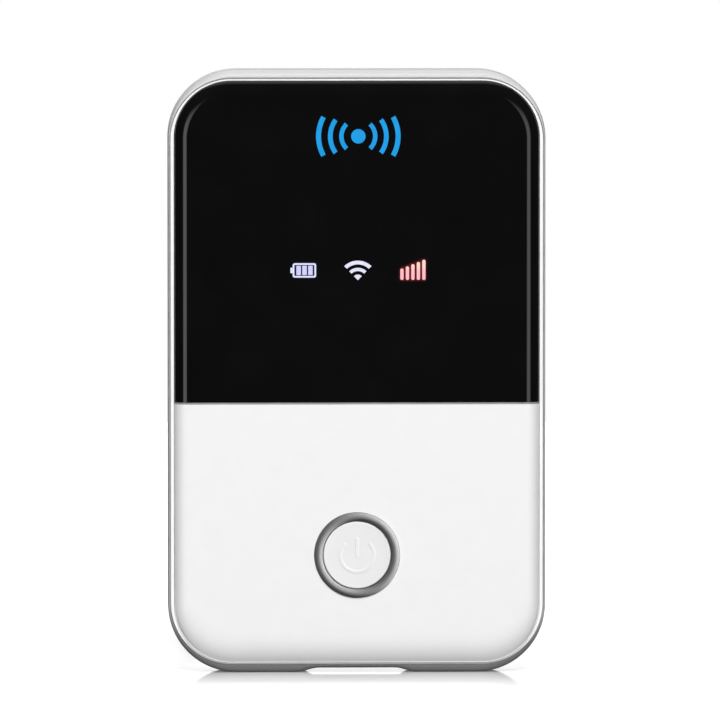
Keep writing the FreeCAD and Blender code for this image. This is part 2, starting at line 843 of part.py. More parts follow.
def make_main_board():
    """The circuit board, with holes for the bosses and for its own screws."""
    body = new_body("main_board")
    outer = front_sketch(body, "outer", "board_front")
    rounded_outline(outer, "board_width", "board_height", "board_corner")
    pad(body, outer, "board_back - board_front")
    holes = front_sketch(body, "holes", "board_front - 1")
    for x, z in screw_places():
        circle(holes, x, z, "boss_hole")
    for x, z in board_screw_places():
        circle(holes, x, z, "screw_radius + screw_clearance")
    pocket(body, holes, "board_back - board_front + 2")
    return body


def make_shield(label, left, bottom, width, tall):
    """A pressed metal can, open towards the board."""
    shell = box(left, "board_front - shield_height", bottom, width, "shield_height", tall)
    hollow = box(f"{left} + shield_wall", "board_front - shield_height + shield_wall",
                 f"{bottom} + shield_wall", f"{width} - 2 * shield_wall", "shield_height",
                 f"{tall} - 2 * shield_wall")
    return keep(cut(shell, hollow), label)


def make_chip(label, left, bottom, width, tall, chip_size):
    """A square chip in the middle of its shield."""
    return keep(box(f"{left} + ({width} - {chip_size}) / 2", "board_front - chip_thick",
                    f"{bottom} + ({tall} - {chip_size}) / 2", chip_size, "chip_thick", chip_size),
                label)


def make_thermal_pad():
    """The soft pad that carries heat from the modem shield to the front shell."""
    front = "skin_back"
    return keep(box("modem_left + pad_margin", front, "modem_bottom + pad_margin",
                    "modem_width - 2 * pad_margin", f"board_front - shield_height - ({front})",
                    "pad_top - modem_bottom - pad_margin"),
                "thermal_pad")


def make_antenna(label, left, bottom):
    """A flat aerial on the front of the board."""
    return keep(box(left, "board_front - antenna_thick", bottom, "antenna_width",
                    "antenna_thick", "antenna_tall"),
                label)


def make_usb_shell():
    """The metal socket of the charging port, open downwards."""
    front = "port_centre - usb_thick / 2"
    shell = box("-usb_width / 2", front, "usb_bottom", "usb_width", "usb_thick", "usb_length")
    throat = box("-usb_width / 2 + usb_wall", f"{front} + usb_wall", "usb_bottom - 1",
                 "usb_width - 2 * usb_wall", "usb_thick - 2 * usb_wall",
                 "usb_length + 1 - usb_wall")
    return keep(cut(shell, throat), "usb_shell")


def make_usb_tongue():
    """The contact tongue inside the charging port."""
    return keep(box("-usb_tongue_width / 2", "port_centre - usb_tongue_thick / 2",
                    "usb_bottom + 4 * usb_wall", "usb_tongue_width", "usb_tongue_thick",
                    "usb_length - 5 * usb_wall"),
                "usb_tongue")


def make_sim_socket():
    """The metal cage that holds the card against the board, open to the right."""
    cage = box("sim_left - socket_margin", "board_back", "sim_bottom - socket_margin + socket_end_trim",
               "socket_cover", "socket_back - board_back",
               "sim_tall + 2 * socket_margin - 2 * socket_end_trim")
    slot = box("sim_left - guide_gap", "sim_front - guide_gap", "sim_bottom - guide_gap",
               "sim_width", "sim_thick + 2 * guide_gap", "sim_tall + 2 * guide_gap")
    return keep(cut(cage, slot), "sim_socket")


def make_sim_card():
    """A card with one cut corner, which slides to the right out of its cage."""
    body = new_body("sim_card")
    outline = front_sketch(body, "outline", "sim_front")
    polygon(outline, [
        ("sim_left", "sim_bottom"),
        ("sim_left + sim_width", "sim_bottom"),
        ("sim_left + sim_width", "sim_bottom + sim_tall"),
        ("sim_left + sim_corner", "sim_bottom + sim_tall"),
        ("sim_left", "sim_bottom + sim_tall - sim_corner"),
    ])
    pad(body, outline, "sim_thick")
    return body


def make_contact_block():
    """The plastic block that holds the battery contacts."""
    return keep(box("contact_left", "board_back", "contact_bottom", "contact_width",
                    "contact_back - board_back", "contact_tall"),
                "contact_block")


def make_battery_contacts():
    """Four gold spring blades that touch the top of the battery."""
    blades = [
        box(f"contact_left + contact_width / 2 + {step} * contact_pitch - contact_blade / 2",
            "contact_back - contact_blade_depth", "contact_bottom - contact_reach", "contact_blade",
            "contact_blade", "contact_reach")
        for step in (-1.5, -0.5, 0.5, 1.5)
    ]
    return keep(group(*blades), "battery_contacts")


def make_capacitors():
    """A row of small parts above the radio shield."""
    row = [
        box(f"capacitor_left + {step} * capacitor_pitch", "board_front - capacitor_thick",
            "capacitor_height", "capacitor_width", "capacitor_thick", "capacitor_tall")
        for step in range(CAPACITOR_COUNT)
    ]
    return keep(group(*row), "capacitors")


def make_reset_button():
    return keep(cylinder("reset_side", "reset_height", "reset_front", "reset_back", "reset_radius"),
                "reset_button")


def make_reset_switch():
    """The small switch under the reset button, bored for its pin."""
    can = box("reset_side - reset_switch_width / 2", "board_back",
              "reset_height - reset_switch_width / 2", "reset_switch_width",
              "reset_switch_back - board_back", "reset_switch_width")
    bore = cylinder("reset_side", "reset_height", "reset_bore_floor", "reset_switch_back + 1",
                    "reset_hole")
    return keep(cut(can, bore), "reset_switch")


# ---------------------------------------------------------------- battery

def make_battery_pack():
    """The flat pouch battery with round side edges."""
    block = box("-battery_width / 2", "tray_floor + battery_rest_gap", "battery_bottom",
                "battery_width", "battery_thick", "battery_tall")
    doc.recompute()
    upright = [
        index + 1 for index, edge in enumerate(block.Shape.Edges)
        if abs(edge.tangentAt(edge.FirstParameter).z) > 0.99
    ]
    rounded = doc.addObject("Part::Fillet", "RoundSides")
    rounded.Base = block
    radius = size_of("battery_round")
    rounded.Edges = [(index, radius, radius) for index in upright]
    return keep(rounded, "battery_pack")


def make_battery_label():
    """A blank paper label on the back of the battery."""
    return keep(box("-label_width / 2", "tray_floor + battery_rest_gap + battery_thick",
                    "battery_bottom + (battery_tall - label_tall) / 2", "label_width",
                    "label_thick", "label_tall"),
                "battery_label")


# ---------------------------------------------------------------- screws

def screw(x, z, head_from, head_to, shaft_from, shaft_to):
    head = cylinder(x, z, head_from, head_to, "head_radius")
    shaft = cylinder(x, z, shaft_from, shaft_to, "screw_radius")
    return fuse(head, shaft)


def make_housing_screws():
    """Four screws that hold the tray to the bosses of the front shell."""
    screws = [
        screw(x, z, "tray_floor", "tray_floor + head_thick", "housing_screw_front + 0.2", "tray_floor")
        for x, z in screw_places()
    ]
    return keep(group(*screws), "housing_screws")


def make_board_screws():
    """Two screws that hold the board to the posts of the tray."""
    screws = [
        screw(x, z, "board_front - head_thick", "board_front", "board_front", "board_screw_back - 0.1")
        for x, z in board_screw_places()
    ]
    return keep(group(*screws), "board_screws")


# ---------------------------------------------------------------- the whole router

def make_all():
    make_mid_frame()
    make_trim_ring()
    make_front_shell()
    make_display_window()
    make_window_adhesive()
    make_button_bezel()
    make_power_button()
    make_button_plunger()
    make_switch_stem()
    make_power_switch()
    make_light_guide()
    make_light_baffle()
    make_status_leds()
    make_main_board()
    modem = ("modem_left", "modem_bottom", "modem_width", "modem_tall")
    wifi = ("wifi_left", "wifi_bottom", "wifi_width", "wifi_tall")
    make_shield("modem_shield", *modem)
    make_shield("wifi_shield", *wifi)
    make_chip("modem_chip", *modem, "modem_chip_size")
    make_chip("wifi_chip", *wifi, "wifi_chip_size")
    make_thermal_pad()
    make_antenna("main_antenna", "-antenna_edge", "antenna_low")
    make_antenna("diversity_antenna", "-antenna_edge", "antenna_high")
    make_antenna("wifi_antenna", "antenna_edge - antenna_width", "antenna_high")
    make_usb_shell()
    make_usb_tongue()
    make_sim_socket()
    make_sim_card()
    make_contact_block()
    make_battery_contacts()
    make_capacitors()
    make_reset_button()
    make_reset_switch()
    make_rear_housing()
    make_battery_pack()
    make_battery_label()
    make_battery_cover()
    make_housing_screws()
    make_board_screws()


def check_all():
    """Stop before writing if any feature failed or any sub-part isn't a sound solid."""
    for item in doc.Objects:
        if "Invalid" in item.State or "Error" in item.State:
            raise RuntimeError(f"{item.Label} failed: {item.State}")
    for item in sub_parts:
        shape = item.Shape
        if shape.isNull() or not shape.isValid() or not shape.Solids:
            raise RuntimeError(f"{item.Label} isn't a sound solid")


def write_all():
    os.makedirs("parts", exist_ok=True)
    for item in sub_parts:
        item.Shape.exportStep(os.path.join("parts", f"{item.Label}.step"))


make_all()
doc.recompute()
check_all()
write_all()
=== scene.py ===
import json
import math
from collections import namedtuple
from itertools import chain

import bmesh
import bpy
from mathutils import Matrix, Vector
from mathutils.geometry import tessellate_polygon


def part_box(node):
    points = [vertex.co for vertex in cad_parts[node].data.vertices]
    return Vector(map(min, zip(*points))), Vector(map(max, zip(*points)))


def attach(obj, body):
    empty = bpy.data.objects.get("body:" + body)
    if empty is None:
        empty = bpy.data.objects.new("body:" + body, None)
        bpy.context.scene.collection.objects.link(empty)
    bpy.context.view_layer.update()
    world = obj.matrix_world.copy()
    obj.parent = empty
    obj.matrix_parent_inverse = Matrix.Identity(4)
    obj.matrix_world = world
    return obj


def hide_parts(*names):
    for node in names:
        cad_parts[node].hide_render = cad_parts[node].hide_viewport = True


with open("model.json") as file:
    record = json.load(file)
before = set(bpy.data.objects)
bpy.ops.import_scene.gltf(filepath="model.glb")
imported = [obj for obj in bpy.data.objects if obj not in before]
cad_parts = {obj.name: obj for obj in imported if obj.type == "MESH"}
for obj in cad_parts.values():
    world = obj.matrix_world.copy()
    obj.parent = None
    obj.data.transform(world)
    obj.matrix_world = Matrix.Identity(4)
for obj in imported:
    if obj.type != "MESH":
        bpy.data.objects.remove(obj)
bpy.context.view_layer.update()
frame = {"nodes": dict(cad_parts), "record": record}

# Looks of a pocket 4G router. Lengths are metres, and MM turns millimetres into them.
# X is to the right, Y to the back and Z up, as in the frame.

MM = 0.001

Outline = namedtuple("Outline", "width height corner")


def outline_of(low, high, corner):
    """A node's outline from the front, with round corners."""
    return Outline(high.x - low.x, high.z - low.z, corner)


body_low, body_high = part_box("mid_frame")
ring_low, ring_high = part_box("trim_ring")
shell_low, shell_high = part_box("front_shell")
window_low, window_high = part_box("display_window")
cover_low, cover_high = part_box("battery_cover")
bezel_low, bezel_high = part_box("button_bezel")
cap_low, cap_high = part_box("power_button")

MIDDLE_Z = (body_low.z + body_high.z) / 2
BODY = outline_of(body_low, body_high, 10.9 * MM)
RING = outline_of(ring_low, ring_high, 9.7 * MM)
FACE = outline_of(shell_low, shell_high, 9.15 * MM)
COVER = outline_of(cover_low, cover_high, 9.9 * MM)
CAVITY = Outline(57.5 * MM, 90.9 * MM, 8.0 * MM)

BEAD_Z = (bezel_low.z + bezel_high.z) / 2
RIM_FRONT = ring_low.y
RIM_BACK = ring_high.y
FACE_FRONT = shell_low.y
SPLIT_Z = window_low.z
# The grey strip of painted shade in the split reaches a little above and below its middle.
SPLIT_ABOVE = 0.12 * MM
SPLIT_BELOW = 0.22 * MM
RECESS_FLOOR = -4.7 * MM
SKIN_BACK = -5.2 * MM
FACE_CROWN = 2.4 * MM
COVER_CROWN = 2.6 * MM
# The face rolls off slowly towards its lower end, where its rim and the trim ring stand further forward.
LOWER_ROLL = 5.3 * MM
LOWER_ROLL_DROP = 1.0 * MM
LOWER_EDGE = 0.12 * MM
RIM_STEP = abs(FACE_FRONT - RIM_FRONT) - LOWER_ROLL_DROP
RIM_STEP_START = 2.0 * MM
RIM_STEP_END = 14.0 * MM
RING_TILT = 0.13 * MM

# Points along each stretch of a rounded rectangle.
BOTTOM_STEPS = 120
SIDE_STEPS = 16
CORNER_STEPS = 28
CROWN_STEPS = 20
# Edges that turn by more degrees than this are rounded.
SOFTENED_ANGLE = 40
FLAT_MARGIN = 0.4 * MM
# A cut that reaches this far goes right past the object.
FAR = 1.0


# ---- mesh helpers

def polar(centre_x, centre_z, radius, angle):
    """The X and Z of a point on a circle, at an angle anticlockwise from the right."""
    return centre_x + radius * math.cos(angle), centre_z + radius * math.sin(angle)


def ring(outline, depth, middle_z=MIDDLE_Z):
    """Points round a rounded rectangle at one depth, anticlockwise from its lower left."""
    reach_x = outline.width / 2 - outline.corner
    reach_z = outline.height / 2 - outline.corner
    runs = (
        (1, 0, BOTTOM_STEPS, reach_x, outline.height / 2),
        (0, 1, SIDE_STEPS, reach_z, outline.width / 2),
        (-1, 0, BOTTOM_STEPS, reach_x, outline.height / 2),
        (0, -1, SIDE_STEPS, reach_z, outline.width / 2),
    )
    points = []
    for turn, (along_x, along_z, steps, reach, away) in enumerate(runs):
        for step in range(steps):
            travel = reach * (2 * step / steps - 1)
            x = travel * along_x + away * along_z
            z = travel * along_z - away * along_x
            points.append(Vector((x, depth, middle_z + z)))
        centre_x = reach_x * (1 if turn in (0, 1) else -1)
        centre_z = reach_z * (1 if turn in (1, 2) else -1)
        for step in range(CORNER_STEPS):
            x, z = polar(centre_x, centre_z, outline.corner, math.pi / 2 * (turn - 1 + step / CORNER_STEPS))
            points.append(Vector((x, depth, middle_z + z)))
    return points


def ease(share):
    """A smooth rise from 0 to 1, held outside that range."""
    share = min(max(share, 0), 1)
    return share * share * (3 - 2 * share)


def shrink(outline, side, end):
    """A smaller outline, drawn in by side on the left and right and by end above and below."""
    return Outline(outline.width - 2 * side, outline.height - 2 * end, outline.corner - (side + end) / 2)


def crown_rings(outline, rim, top, inset, lower_inset=None):
    """Rings of an edge that curves in an arc from the outline at rim to a flat face at top."""
    rise = abs(top - rim)
    radius = (inset * inset + rise * rise) / (2 * rise)
    steepest = math.asin(inset / radius)
    rows = []
    for step in range(CROWN_STEPS + 1):
        tilt = steepest * (1 - step / CROWN_STEPS)
        side = inset - radius * math.sin(tilt)
        height = rise - radius * (1 - math.cos(tilt))
        low = lower_inset(height, rise) if lower_inset else side
        smaller = Outline(outline.width - 2 * side, outline.height - side - low, outline.corner - side)
        depth = rim + math.copysign(height, top - rim)
        rows.append(ring(smaller, depth, middle_z=MIDDLE_Z + (low - side) / 2))
    return rows


def lower_face_inset(height, rise):
    """How far the face is drawn in at its lower end, at a height above the rim."""
    edge_height = rise - LOWER_ROLL_DROP
    if height < edge_height:
        return LOWER_EDGE * (height / edge_height) ** 2
    left = max((rise - height) / LOWER_ROLL_DROP, 0)
    return LOWER_EDGE + LOWER_ROLL * (1 - left ** (1 / 3))


def skin(rows, joined=False):
    """A closed mesh over equal rows of points: the last row meets the first, or both ends are capped."""
    mesh = bmesh.new()
    made = [[mesh.verts.new(point) for point in row] for row in rows]
    pairs = list(zip(made, made[1:]))
    if joined:
        pairs.append((made[-1], made[0]))
    else:
        mesh.faces.new(made[0])
        mesh.faces.new(made[-1])
    for low, high in pairs:
        for index in range(len(low)):
            following = (index + 1) % len(low)
            mesh.faces.new((low[index], low[following], high[following], high[index]))
    bmesh.ops.recalc_face_normals(mesh, faces=mesh.faces)
    return mesh


def as_object(name, mesh):
    """A scene object from a bmesh."""
    data = bpy.data.meshes.new(name)
    mesh.to_mesh(data)
    mesh.free()
    item = bpy.data.objects.new(name, data)
    bpy.context.scene.collection.objects.link(item)
    return item


def smooth(item, degrees=32):
    item.data.shade_smooth()
    item.data.set_sharp_from_angle(angle=math.radians(degrees))
    return item


def settle(item):
    """Turn an object's modifiers into plain mesh."""
    graph = bpy.context.evaluated_depsgraph_get()
    item.data = bpy.data.meshes.new_from_object(item.evaluated_get(graph))
    item.modifiers.clear()
    return item


def combine(item, tool, operation):
    """Cut tool from item, or add it, and remove the tool."""
    modifier = item.modifiers.new("Combine", "BOOLEAN")
    modifier.operation = operation
    modifier.solver = "EXACT"
    modifier.object = tool
    settle(item)
    bpy.data.objects.remove(tool)
    return item


def carve(item, tool):
    return combine(item, tool, "DIFFERENCE")


def weld(item, tool):
    return combine(item, tool, "UNION")


def block(low, high):
    """A box between two corners, used to cut or to add."""
    mesh = bmesh.new()
    bmesh.ops.create_cube(mesh, size=1)
    low = Vector(low)
    high = Vector(high)
    for vertex in mesh.verts:
        vertex.co = Vector(
            low[axis] + (vertex.co[axis] + 0.5) * (high[axis] - low[axis]) for axis in range(3))
    return as_object("tool", mesh)


def turned(profile, middle_x, middle_z, steps, joined=False):
    """A mesh turned about an axis along Y; profile is a list of radius and depth."""
    rows = []
    for radius, depth in profile:
        row = [polar(middle_x, middle_z, radius, 2 * math.pi * step / steps) for step in range(steps)]
        rows.append([Vector((x, depth, z)) for x, z in row])
    return skin(rows, joined)


def bar(middle_x, middle_z, radius, front, back, steps=96):
    """A round bar along Y, used to cut or to add."""
    return as_object("tool", turned([(radius, front), (radius, back)], middle_x, middle_z, steps))


def gather(name, items):
    """Join separate pieces into one object."""
    mesh = bmesh.new()
    for item in items:
        mesh.from_mesh(item.data)
        bpy.data.objects.remove(item)
    return as_object(name, mesh)


def soften(item, width, segments=3):
    """Round the sharp edges of a piece."""
    modifier = item.modifiers.new("Soft edges", "BEVEL")
    modifier.width = width
    modifier.segments = segments
    modifier.limit_method = "ANGLE"
    modifier.angle_limit = math.radians(SOFTENED_ANGLE)
    modifier.harden_normals = True
    return item


def paint(item, finish):
    """Give a piece one finish in place of any that it has."""
    item.data.materials.clear()
    item.data.materials.append(FINISHES[finish])


def finish_piece(item, slot, *nodes, body="case", look=None):
    """Paint a piece in its slot's finish or another look, and say its body and the nodes it replaces."""
    paint(item, look or slot)
    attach(item, body)
    if nodes:
        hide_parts(*nodes)
    return item


def plate(name, shapes, front, thickness):
    """A thin closed plate from shapes seen from the front: each is an outer loop and its holes."""
    mesh = bmesh.new()
    for loops in shapes:
        flat = [[Vector((x, z, 0)) for x, z in loop] for loop in loops]
        corners = [corner for loop in flat for corner in loop]
        front_row = [mesh.verts.new((corner.x, front, corner.y)) for corner in corners]
        back_row = [mesh.verts.new((corner.x, front + thickness, corner.y)) for corner in corners]
        for triangle in tessellate_polygon(flat):
            mesh.faces.new([front_row[index] for index in triangle])
            mesh.faces.new([back_row[index] for index in reversed(triangle)])
        base = 0
        for loop in flat:
            count = len(loop)
            for index in range(count):
                here = base + index
                following = base + (index + 1) % count
                mesh.faces.new((front_row[here], front_row[following], back_row[following],
                                back_row[here]))
            base += count
    bmesh.ops.recalc_face_normals(mesh, faces=mesh.faces)
    return as_object(name, mesh)


# ---- flat shapes

ARC_STEPS = 24


def rounded_loop(left, bottom, right, top, radius, steps=6):
    """A rectangle with round corners, as points seen from the front."""
    points = []
    corners = (
        (right - radius, bottom + radius, -90),
        (right - radius, top - radius, 0),
        (left + radius, top - radius, 90),
        (left + radius, bottom + radius, 180),
    )
    for centre_x, centre_z, start in corners:
        for step in range(steps + 1):
            points.append(polar(centre_x, centre_z, radius, math.radians(start + 90 * step / steps)))
    return points


def centred_loop(x, z, half_x, half_z, radius):
    """A rectangle with round corners about a middle point."""
    return rounded_loop(x - half_x, z - half_z, x + half_x, z + half_z, radius)


def arc_band(centre_x, centre_z, inner, outer, start, end):
    """A strip between two radii and two angles, in degrees anticlockwise from the right."""
    angles = [math.radians(start + (end - start) * step / ARC_STEPS) for step in range(ARC_STEPS + 1)]
    far = [polar(centre_x, centre_z, outer, angle) for angle in angles]
    near = [polar(centre_x, centre_z, inner, angle) for angle in reversed(angles)]
    return far + near


def disc_loop(centre_x, centre_z, radius):
    steps = 40
    return [polar(centre_x, centre_z, radius, 2 * math.pi * step / steps) for step in range(steps)]


# The signal icon: five bars that grow to the right, in a soft red glow of three strengths.
SIGNAL_PITCH = 0.875 * MM
SIGNAL_WIDTH = 0.53 * MM
SIGNAL_LEFT = 7.17 * MM
SIGNAL_BOTTOM = 63.05 * MM
SIGNAL_FIRST_TOP = 64.86 * MM
SIGNAL_RISE = 0.352 * MM
SIGNAL_BARS = 5
GLOW_LEVELS = (0.006, 0.03, 0.13)
GLOW_MARGINS = (0.32 * MM, 0.20 * MM, 0.08 * MM)
# The widest glow is the thinnest, and each narrower one is a layer thicker.
GLOW_THICK = 0.005 * MM
GLOW_LAYER = 0.004 * MM


# ---- materials

# Every finish by its name, which for most of them is also their slot.
FINISHES = {}
# The noise lies mostly between these two values.
NOISE_LOW = 0.3
NOISE_HIGH = 0.7
COAT_ROUGHNESS = 0.1
MOULDED_SPREAD = 0.12
BRUSHED_SPREAD = 0.3


def feed(tree, node, inputs):
    """Give a node's inputs their values: fixed ones, or other nodes' outputs."""
    for socket, value in inputs.items():
        if isinstance(value, bpy.types.NodeSocket):
            tree.links.new(value, node.inputs[socket])
        else:
            node.inputs[socket].default_value = value
    return node


def add_node(tree, kind, inputs=None, **settings):
    """A new shader node with its settings and inputs."""
    node = tree.nodes.new("ShaderNode" + kind)
    for name, value in settings.items():
        setattr(node, name, value)
    return feed(tree, node, inputs or {})


def tree_math(tree, operation, first, second=0.0):
    """What a math node makes of numbers or other nodes' outputs."""
    return add_node(tree, "Math", {0: first, 1: second}, operation=operation).outputs["Value"]


def product(tree, first, second):
    return tree_math(tree, "MULTIPLY", first, second)


def soft_step(tree, value, start, end):
    """Rises smoothly from 0 to 1 as value goes from start to end."""
    return add_node(tree, "MapRange", {"From Min": start, "From Max": end, "Value": value},
                    interpolation_type="SMOOTHSTEP").outputs["Result"]


def place_in(tree, space="Object"):
    return add_node(tree, "TexCoord").outputs[space]


def axes_of(tree, place):
    """The X, Y and Z of a place."""
    return add_node(tree, "SeparateXYZ", {"Vector": place}).outputs


def set_shader(material, inputs):
    """Give the main shader of a material some of its inputs."""
    feed(material.node_tree, material.node_tree.nodes["Principled BSDF"], inputs)


def new_material(name, colour, roughness, metallic=0.0, specular=0.5, coat=0.0):
    """A finish with its fixed values set on the shader itself."""
    material = bpy.data.materials.new(name)
    material.use_nodes = True
    set_shader(material, {
        "Base Color": (*colour, 1), "Roughness": roughness, "Metallic": metallic,
        "Specular IOR Level": specular, "Coat Weight": coat, "Coat Roughness": COAT_ROUGHNESS,
    })
    FINISHES[name] = material
    return material


def grain(material, size, stretch=(1, 1, 1), detail=3.0):
    """A noise texture whose features are about size across; returns its output."""
    tree = material.node_tree
    scale = [part / size for part in stretch]
    scaled = add_node(tree, "Mapping", {"Vector": place_in(tree), "Scale": scale})
    noise = add_node(tree, "TexNoise", {"Vector": scaled.outputs["Vector"], "Scale": 1.0, "Detail": detail})
    return noise.outputs["Fac"]


def tone_between(tree, source, dark, light, start=NOISE_LOW, end=NOISE_HIGH):
    """A colour that goes from dark to light as the source goes from start to end."""
    ramp = add_node(tree, "ValToRGB", {"Fac": source})
    for element, place, colour in zip(ramp.color_ramp.elements, (start, end), (dark, light)):
        element.position = place
        element.color = (*colour, 1)
    return ramp.outputs["Color"]


def vary(material, source, tones=None, roughness=None, height=None):
    """Let a texture vary the tone, the roughness and the height of a surface."""
    tree = material.node_tree
    if tones:
        set_shader(material, {"Base Color": tone_between(tree, source, *tones)})
    if roughness:
        low, high = roughness
        spread = add_node(tree, "MapRange", {
            "From Min": NOISE_LOW, "From Max": NOISE_HIGH, "To Min": low, "To Max": high, "Value": source,
        })
        set_shader(material, {"Roughness": spread.outputs["Result"]})
    if height:
        bump = add_node(tree, "Bump", {"Distance": height, "Strength": 1.0, "Height": source})
        set_shader(material, {"Normal": bump.outputs["Normal"]})


def about(value, share):
    """The two values that lie a share of a value below and above it."""
    return value * (1 - share), value * (1 + share)


def grey(value):
    return (value, value, value)


def moulded(name, dark, light, roughness, grain_size=0.12 * MM, height=0.002 * MM, **extra):
    """Moulded plastic: a faint mottle of tone and a fine spark-eroded grain."""
    material = new_material(name, light, roughness, **extra)
    vary(material, grain(material, 3 * MM), (dark, light))
    fine = grain(material, grain_size, detail=4.0)
    vary(material, fine, roughness=about(roughness, MOULDED_SPREAD), height=height)


def brushed(name, dark, light, roughness, stretch=(1, 1, 12), size=0.4 * MM):
    """Drawn or pressed metal with fine lines along one way."""
    material = new_material(name, light, roughness, metallic=1.0)
    lines = grain(material, size, stretch, detail=5.0)
    vary(material, lines, (dark, light), about(roughness, BRUSHED_SPREAD), 0.001 * MM)


def lit(name, low, high, span=None):
    """A lit icon: it glows with a slight mottle, or from one tone to another over a span of heights."""
    material = new_material(name, grey(0.004), 0.3, specular=0.1)
    tree = material.node_tree
    if span:
        source = soft_step(tree, axes_of(tree, place_in(tree))["Z"], *span)
    else:
        source = grain(material, 0.5 * MM)
    glow = tone_between(tree, source, low, high, start=0.35, end=0.65)
    set_shader(material, {"Emission Color": glow, "Emission Strength": 1.0})


def glow_name(step):
    return "glow_" + str(step)


def make_silver():
    """Silver paint with fine metal flakes."""
    silver = new_material("silver_band", grey(0.55), 0.4, metallic=0.25)
    flakes = grain(silver, 0.05 * MM, detail=2.0)
    vary(silver, flakes, (grey(0.50), grey(0.60)), (0.34, 0.46), 0.0008 * MM)


def make_gloss():
    """Black gloss with a slight haze."""
    gloss = new_material("black_window", grey(0.003), 0.06, specular=0.35)
    haze = grain(gloss, 9 * MM, detail=5.0)
    vary(gloss, haze, ((0.0022, 0.0022, 0.0024), (0.0034, 0.0034, 0.0036)), (0.04, 0.09))


def make_polish():
    """The dark, softly shining finish of the bead."""
    polish = new_material("polished_bead", grey(0.09), 0.38, specular=0.3)
    fine = grain(polish, 0.3 * MM, detail=4.0)
    vary(polish, fine, (grey(0.083), grey(0.095)), (0.34, 0.42))


def make_board():
    """Green solder mask over a pattern of lighter copper tracks."""
    board = new_material("circuit_board", (0.005, 0.07, 0.03), 0.35, coat=0.4)
    tree = board.node_tree
    per_metre = 900
    laid = add_node(tree, "Mapping", {
        "Vector": place_in(tree), "Rotation": (math.pi / 2, 0, 0), "Scale": (per_metre,) * 3,
    })
    tracks = add_node(tree, "TexBrick", {
        "Vector": laid.outputs["Vector"], "Color1": (0.005, 0.075, 0.035, 1),
        "Color2": (0.008, 0.10, 0.045, 1), "Mortar": (0.02, 0.17, 0.07, 1), "Mortar Size": 0.012,
        "Scale": 0.6,
    })
    set_shader(board, {"Base Color": tracks.outputs["Color"]})
    vary(board, tracks.outputs["Fac"], height=0.01 * MM)


def make_plastics():
    moulded("white_shell", grey(0.80), grey(0.815), 0.42, height=0.0012 * MM, specular=0.35)
    moulded("white_cover", grey(0.80), grey(0.812), 0.45, height=0.003 * MM, specular=0.35)
    moulded("white_button", grey(0.69), grey(0.71), 0.35, height=0.001 * MM, specular=0.4)
    moulded("bright_trim", grey(0.84), grey(0.88), 0.2, height=0.0006 * MM)
    # Painted shade: the grey of the strip in the split stands in for the shaded gap between window and
    # face.
    moulded("split_shade_strip", grey(0.25), grey(0.30), 0.5)
    moulded("inner_tray", grey(0.62), grey(0.68), 0.55, height=0.004 * MM)
    moulded("black_plastic", grey(0.012), grey(0.02), 0.5)
    moulded("black_tape", grey(0.01), grey(0.02), 0.8)
    moulded("black_foam", grey(0.006), grey(0.02), 0.95, 0.2 * MM, 0.03 * MM)
    moulded("grey_rubber", grey(0.07), grey(0.10), 0.7)
    moulded("clear_guide", (0.72, 0.75, 0.8), (0.8, 0.83, 0.87), 0.12)
    moulded("lamp_white", (0.8, 0.74, 0.4), (0.86, 0.82, 0.55), 0.25)
    moulded("thermal_gel", (0.28, 0.34, 0.42), (0.34, 0.4, 0.48), 0.75)
    moulded("capacitor_tan", (0.25, 0.16, 0.08), (0.36, 0.25, 0.14), 0.5)
    moulded("card_white", grey(0.72), grey(0.78), 0.4)
    moulded("paper_label", (0.74, 0.74, 0.71), (0.82, 0.82, 0.79), 0.85, 0.3 * MM, 0.006 * MM)
    moulded("battery_wrap", grey(0.06), grey(0.085), 0.4, 0.5 * MM, 0.01 * MM)
    moulded("mark_blue", (0.006, 0.28, 0.66), (0.010, 0.31, 0.72), 0.3)


def make_metals():
    brushed("switch_can", grey(0.45), grey(0.6), 0.35)
    brushed("tinned_can", grey(0.5), grey(0.64), 0.4, (12, 1, 1))
    brushed("socket_steel", grey(0.5), grey(0.66), 0.3, (12, 1, 1))
    brushed("screw_steel", grey(0.09), grey(0.16), 0.35, (1, 1, 1), 0.2 * MM)
    brushed("gold_contact", (0.72, 0.45, 0.13), (0.85, 0.58, 0.22), 0.25)


def make_lights():
    lit("icon_white", (0.72, 0.74, 0.94), (0.86, 0.87, 1.0))
    lit("icon_lavender", (0.60, 0.60, 0.95), (0.70, 0.70, 1.0))
    lit("icon_blue_halo", (0.008, 0.008, 0.07), (0.012, 0.012, 0.1))
    lit("icon_red", (1.0, 0.52, 0.56), (1.0, 0.71, 0.60),
        (SIGNAL_BOTTOM, SIGNAL_FIRST_TOP + SIGNAL_RISE * SIGNAL_BARS))
    for step, level in enumerate(GLOW_LEVELS):
        lit(glow_name(step), (level * 0.9, 0.0, level * 0.02), (level * 1.1, 0.0, level * 0.05))


# ---- outer case

BAND_FLAT_FRONT = -3.1 * MM
BAND_FLAT_BACK = 4.1 * MM
SIDE_TUCK = 0.2 * MM
END_TUCK = 1.15 * MM
# The shadow line round the trim ring is a groove in the front of the band.
GROOVE_LIP = 0.02 * MM
GROOVE_FLOOR = body_low.y + 0.45 * MM
GROOVE_START = 2.0 * MM
GROOVE_FULL = 9.0 * MM
NOTCH_MOUTH = 19.0 * MM
NOTCH_FLOOR = 12.2 * MM
NOTCH_RISE = 0.67 * MM
NOTCH_BACK_RISE = 1.32 * MM
EDGE_STEPS = 14
FLAT_STEPS = 8

HOUSING_SCREWS = (
    (-22.0 * MM, 6.4 * MM),
    (22.0 * MM, 6.4 * MM),
    (-21.3 * MM, 90.6 * MM),
    (21.3 * MM, 90.6 * MM),
)
SCREW_RADIUS = 0.7 * MM


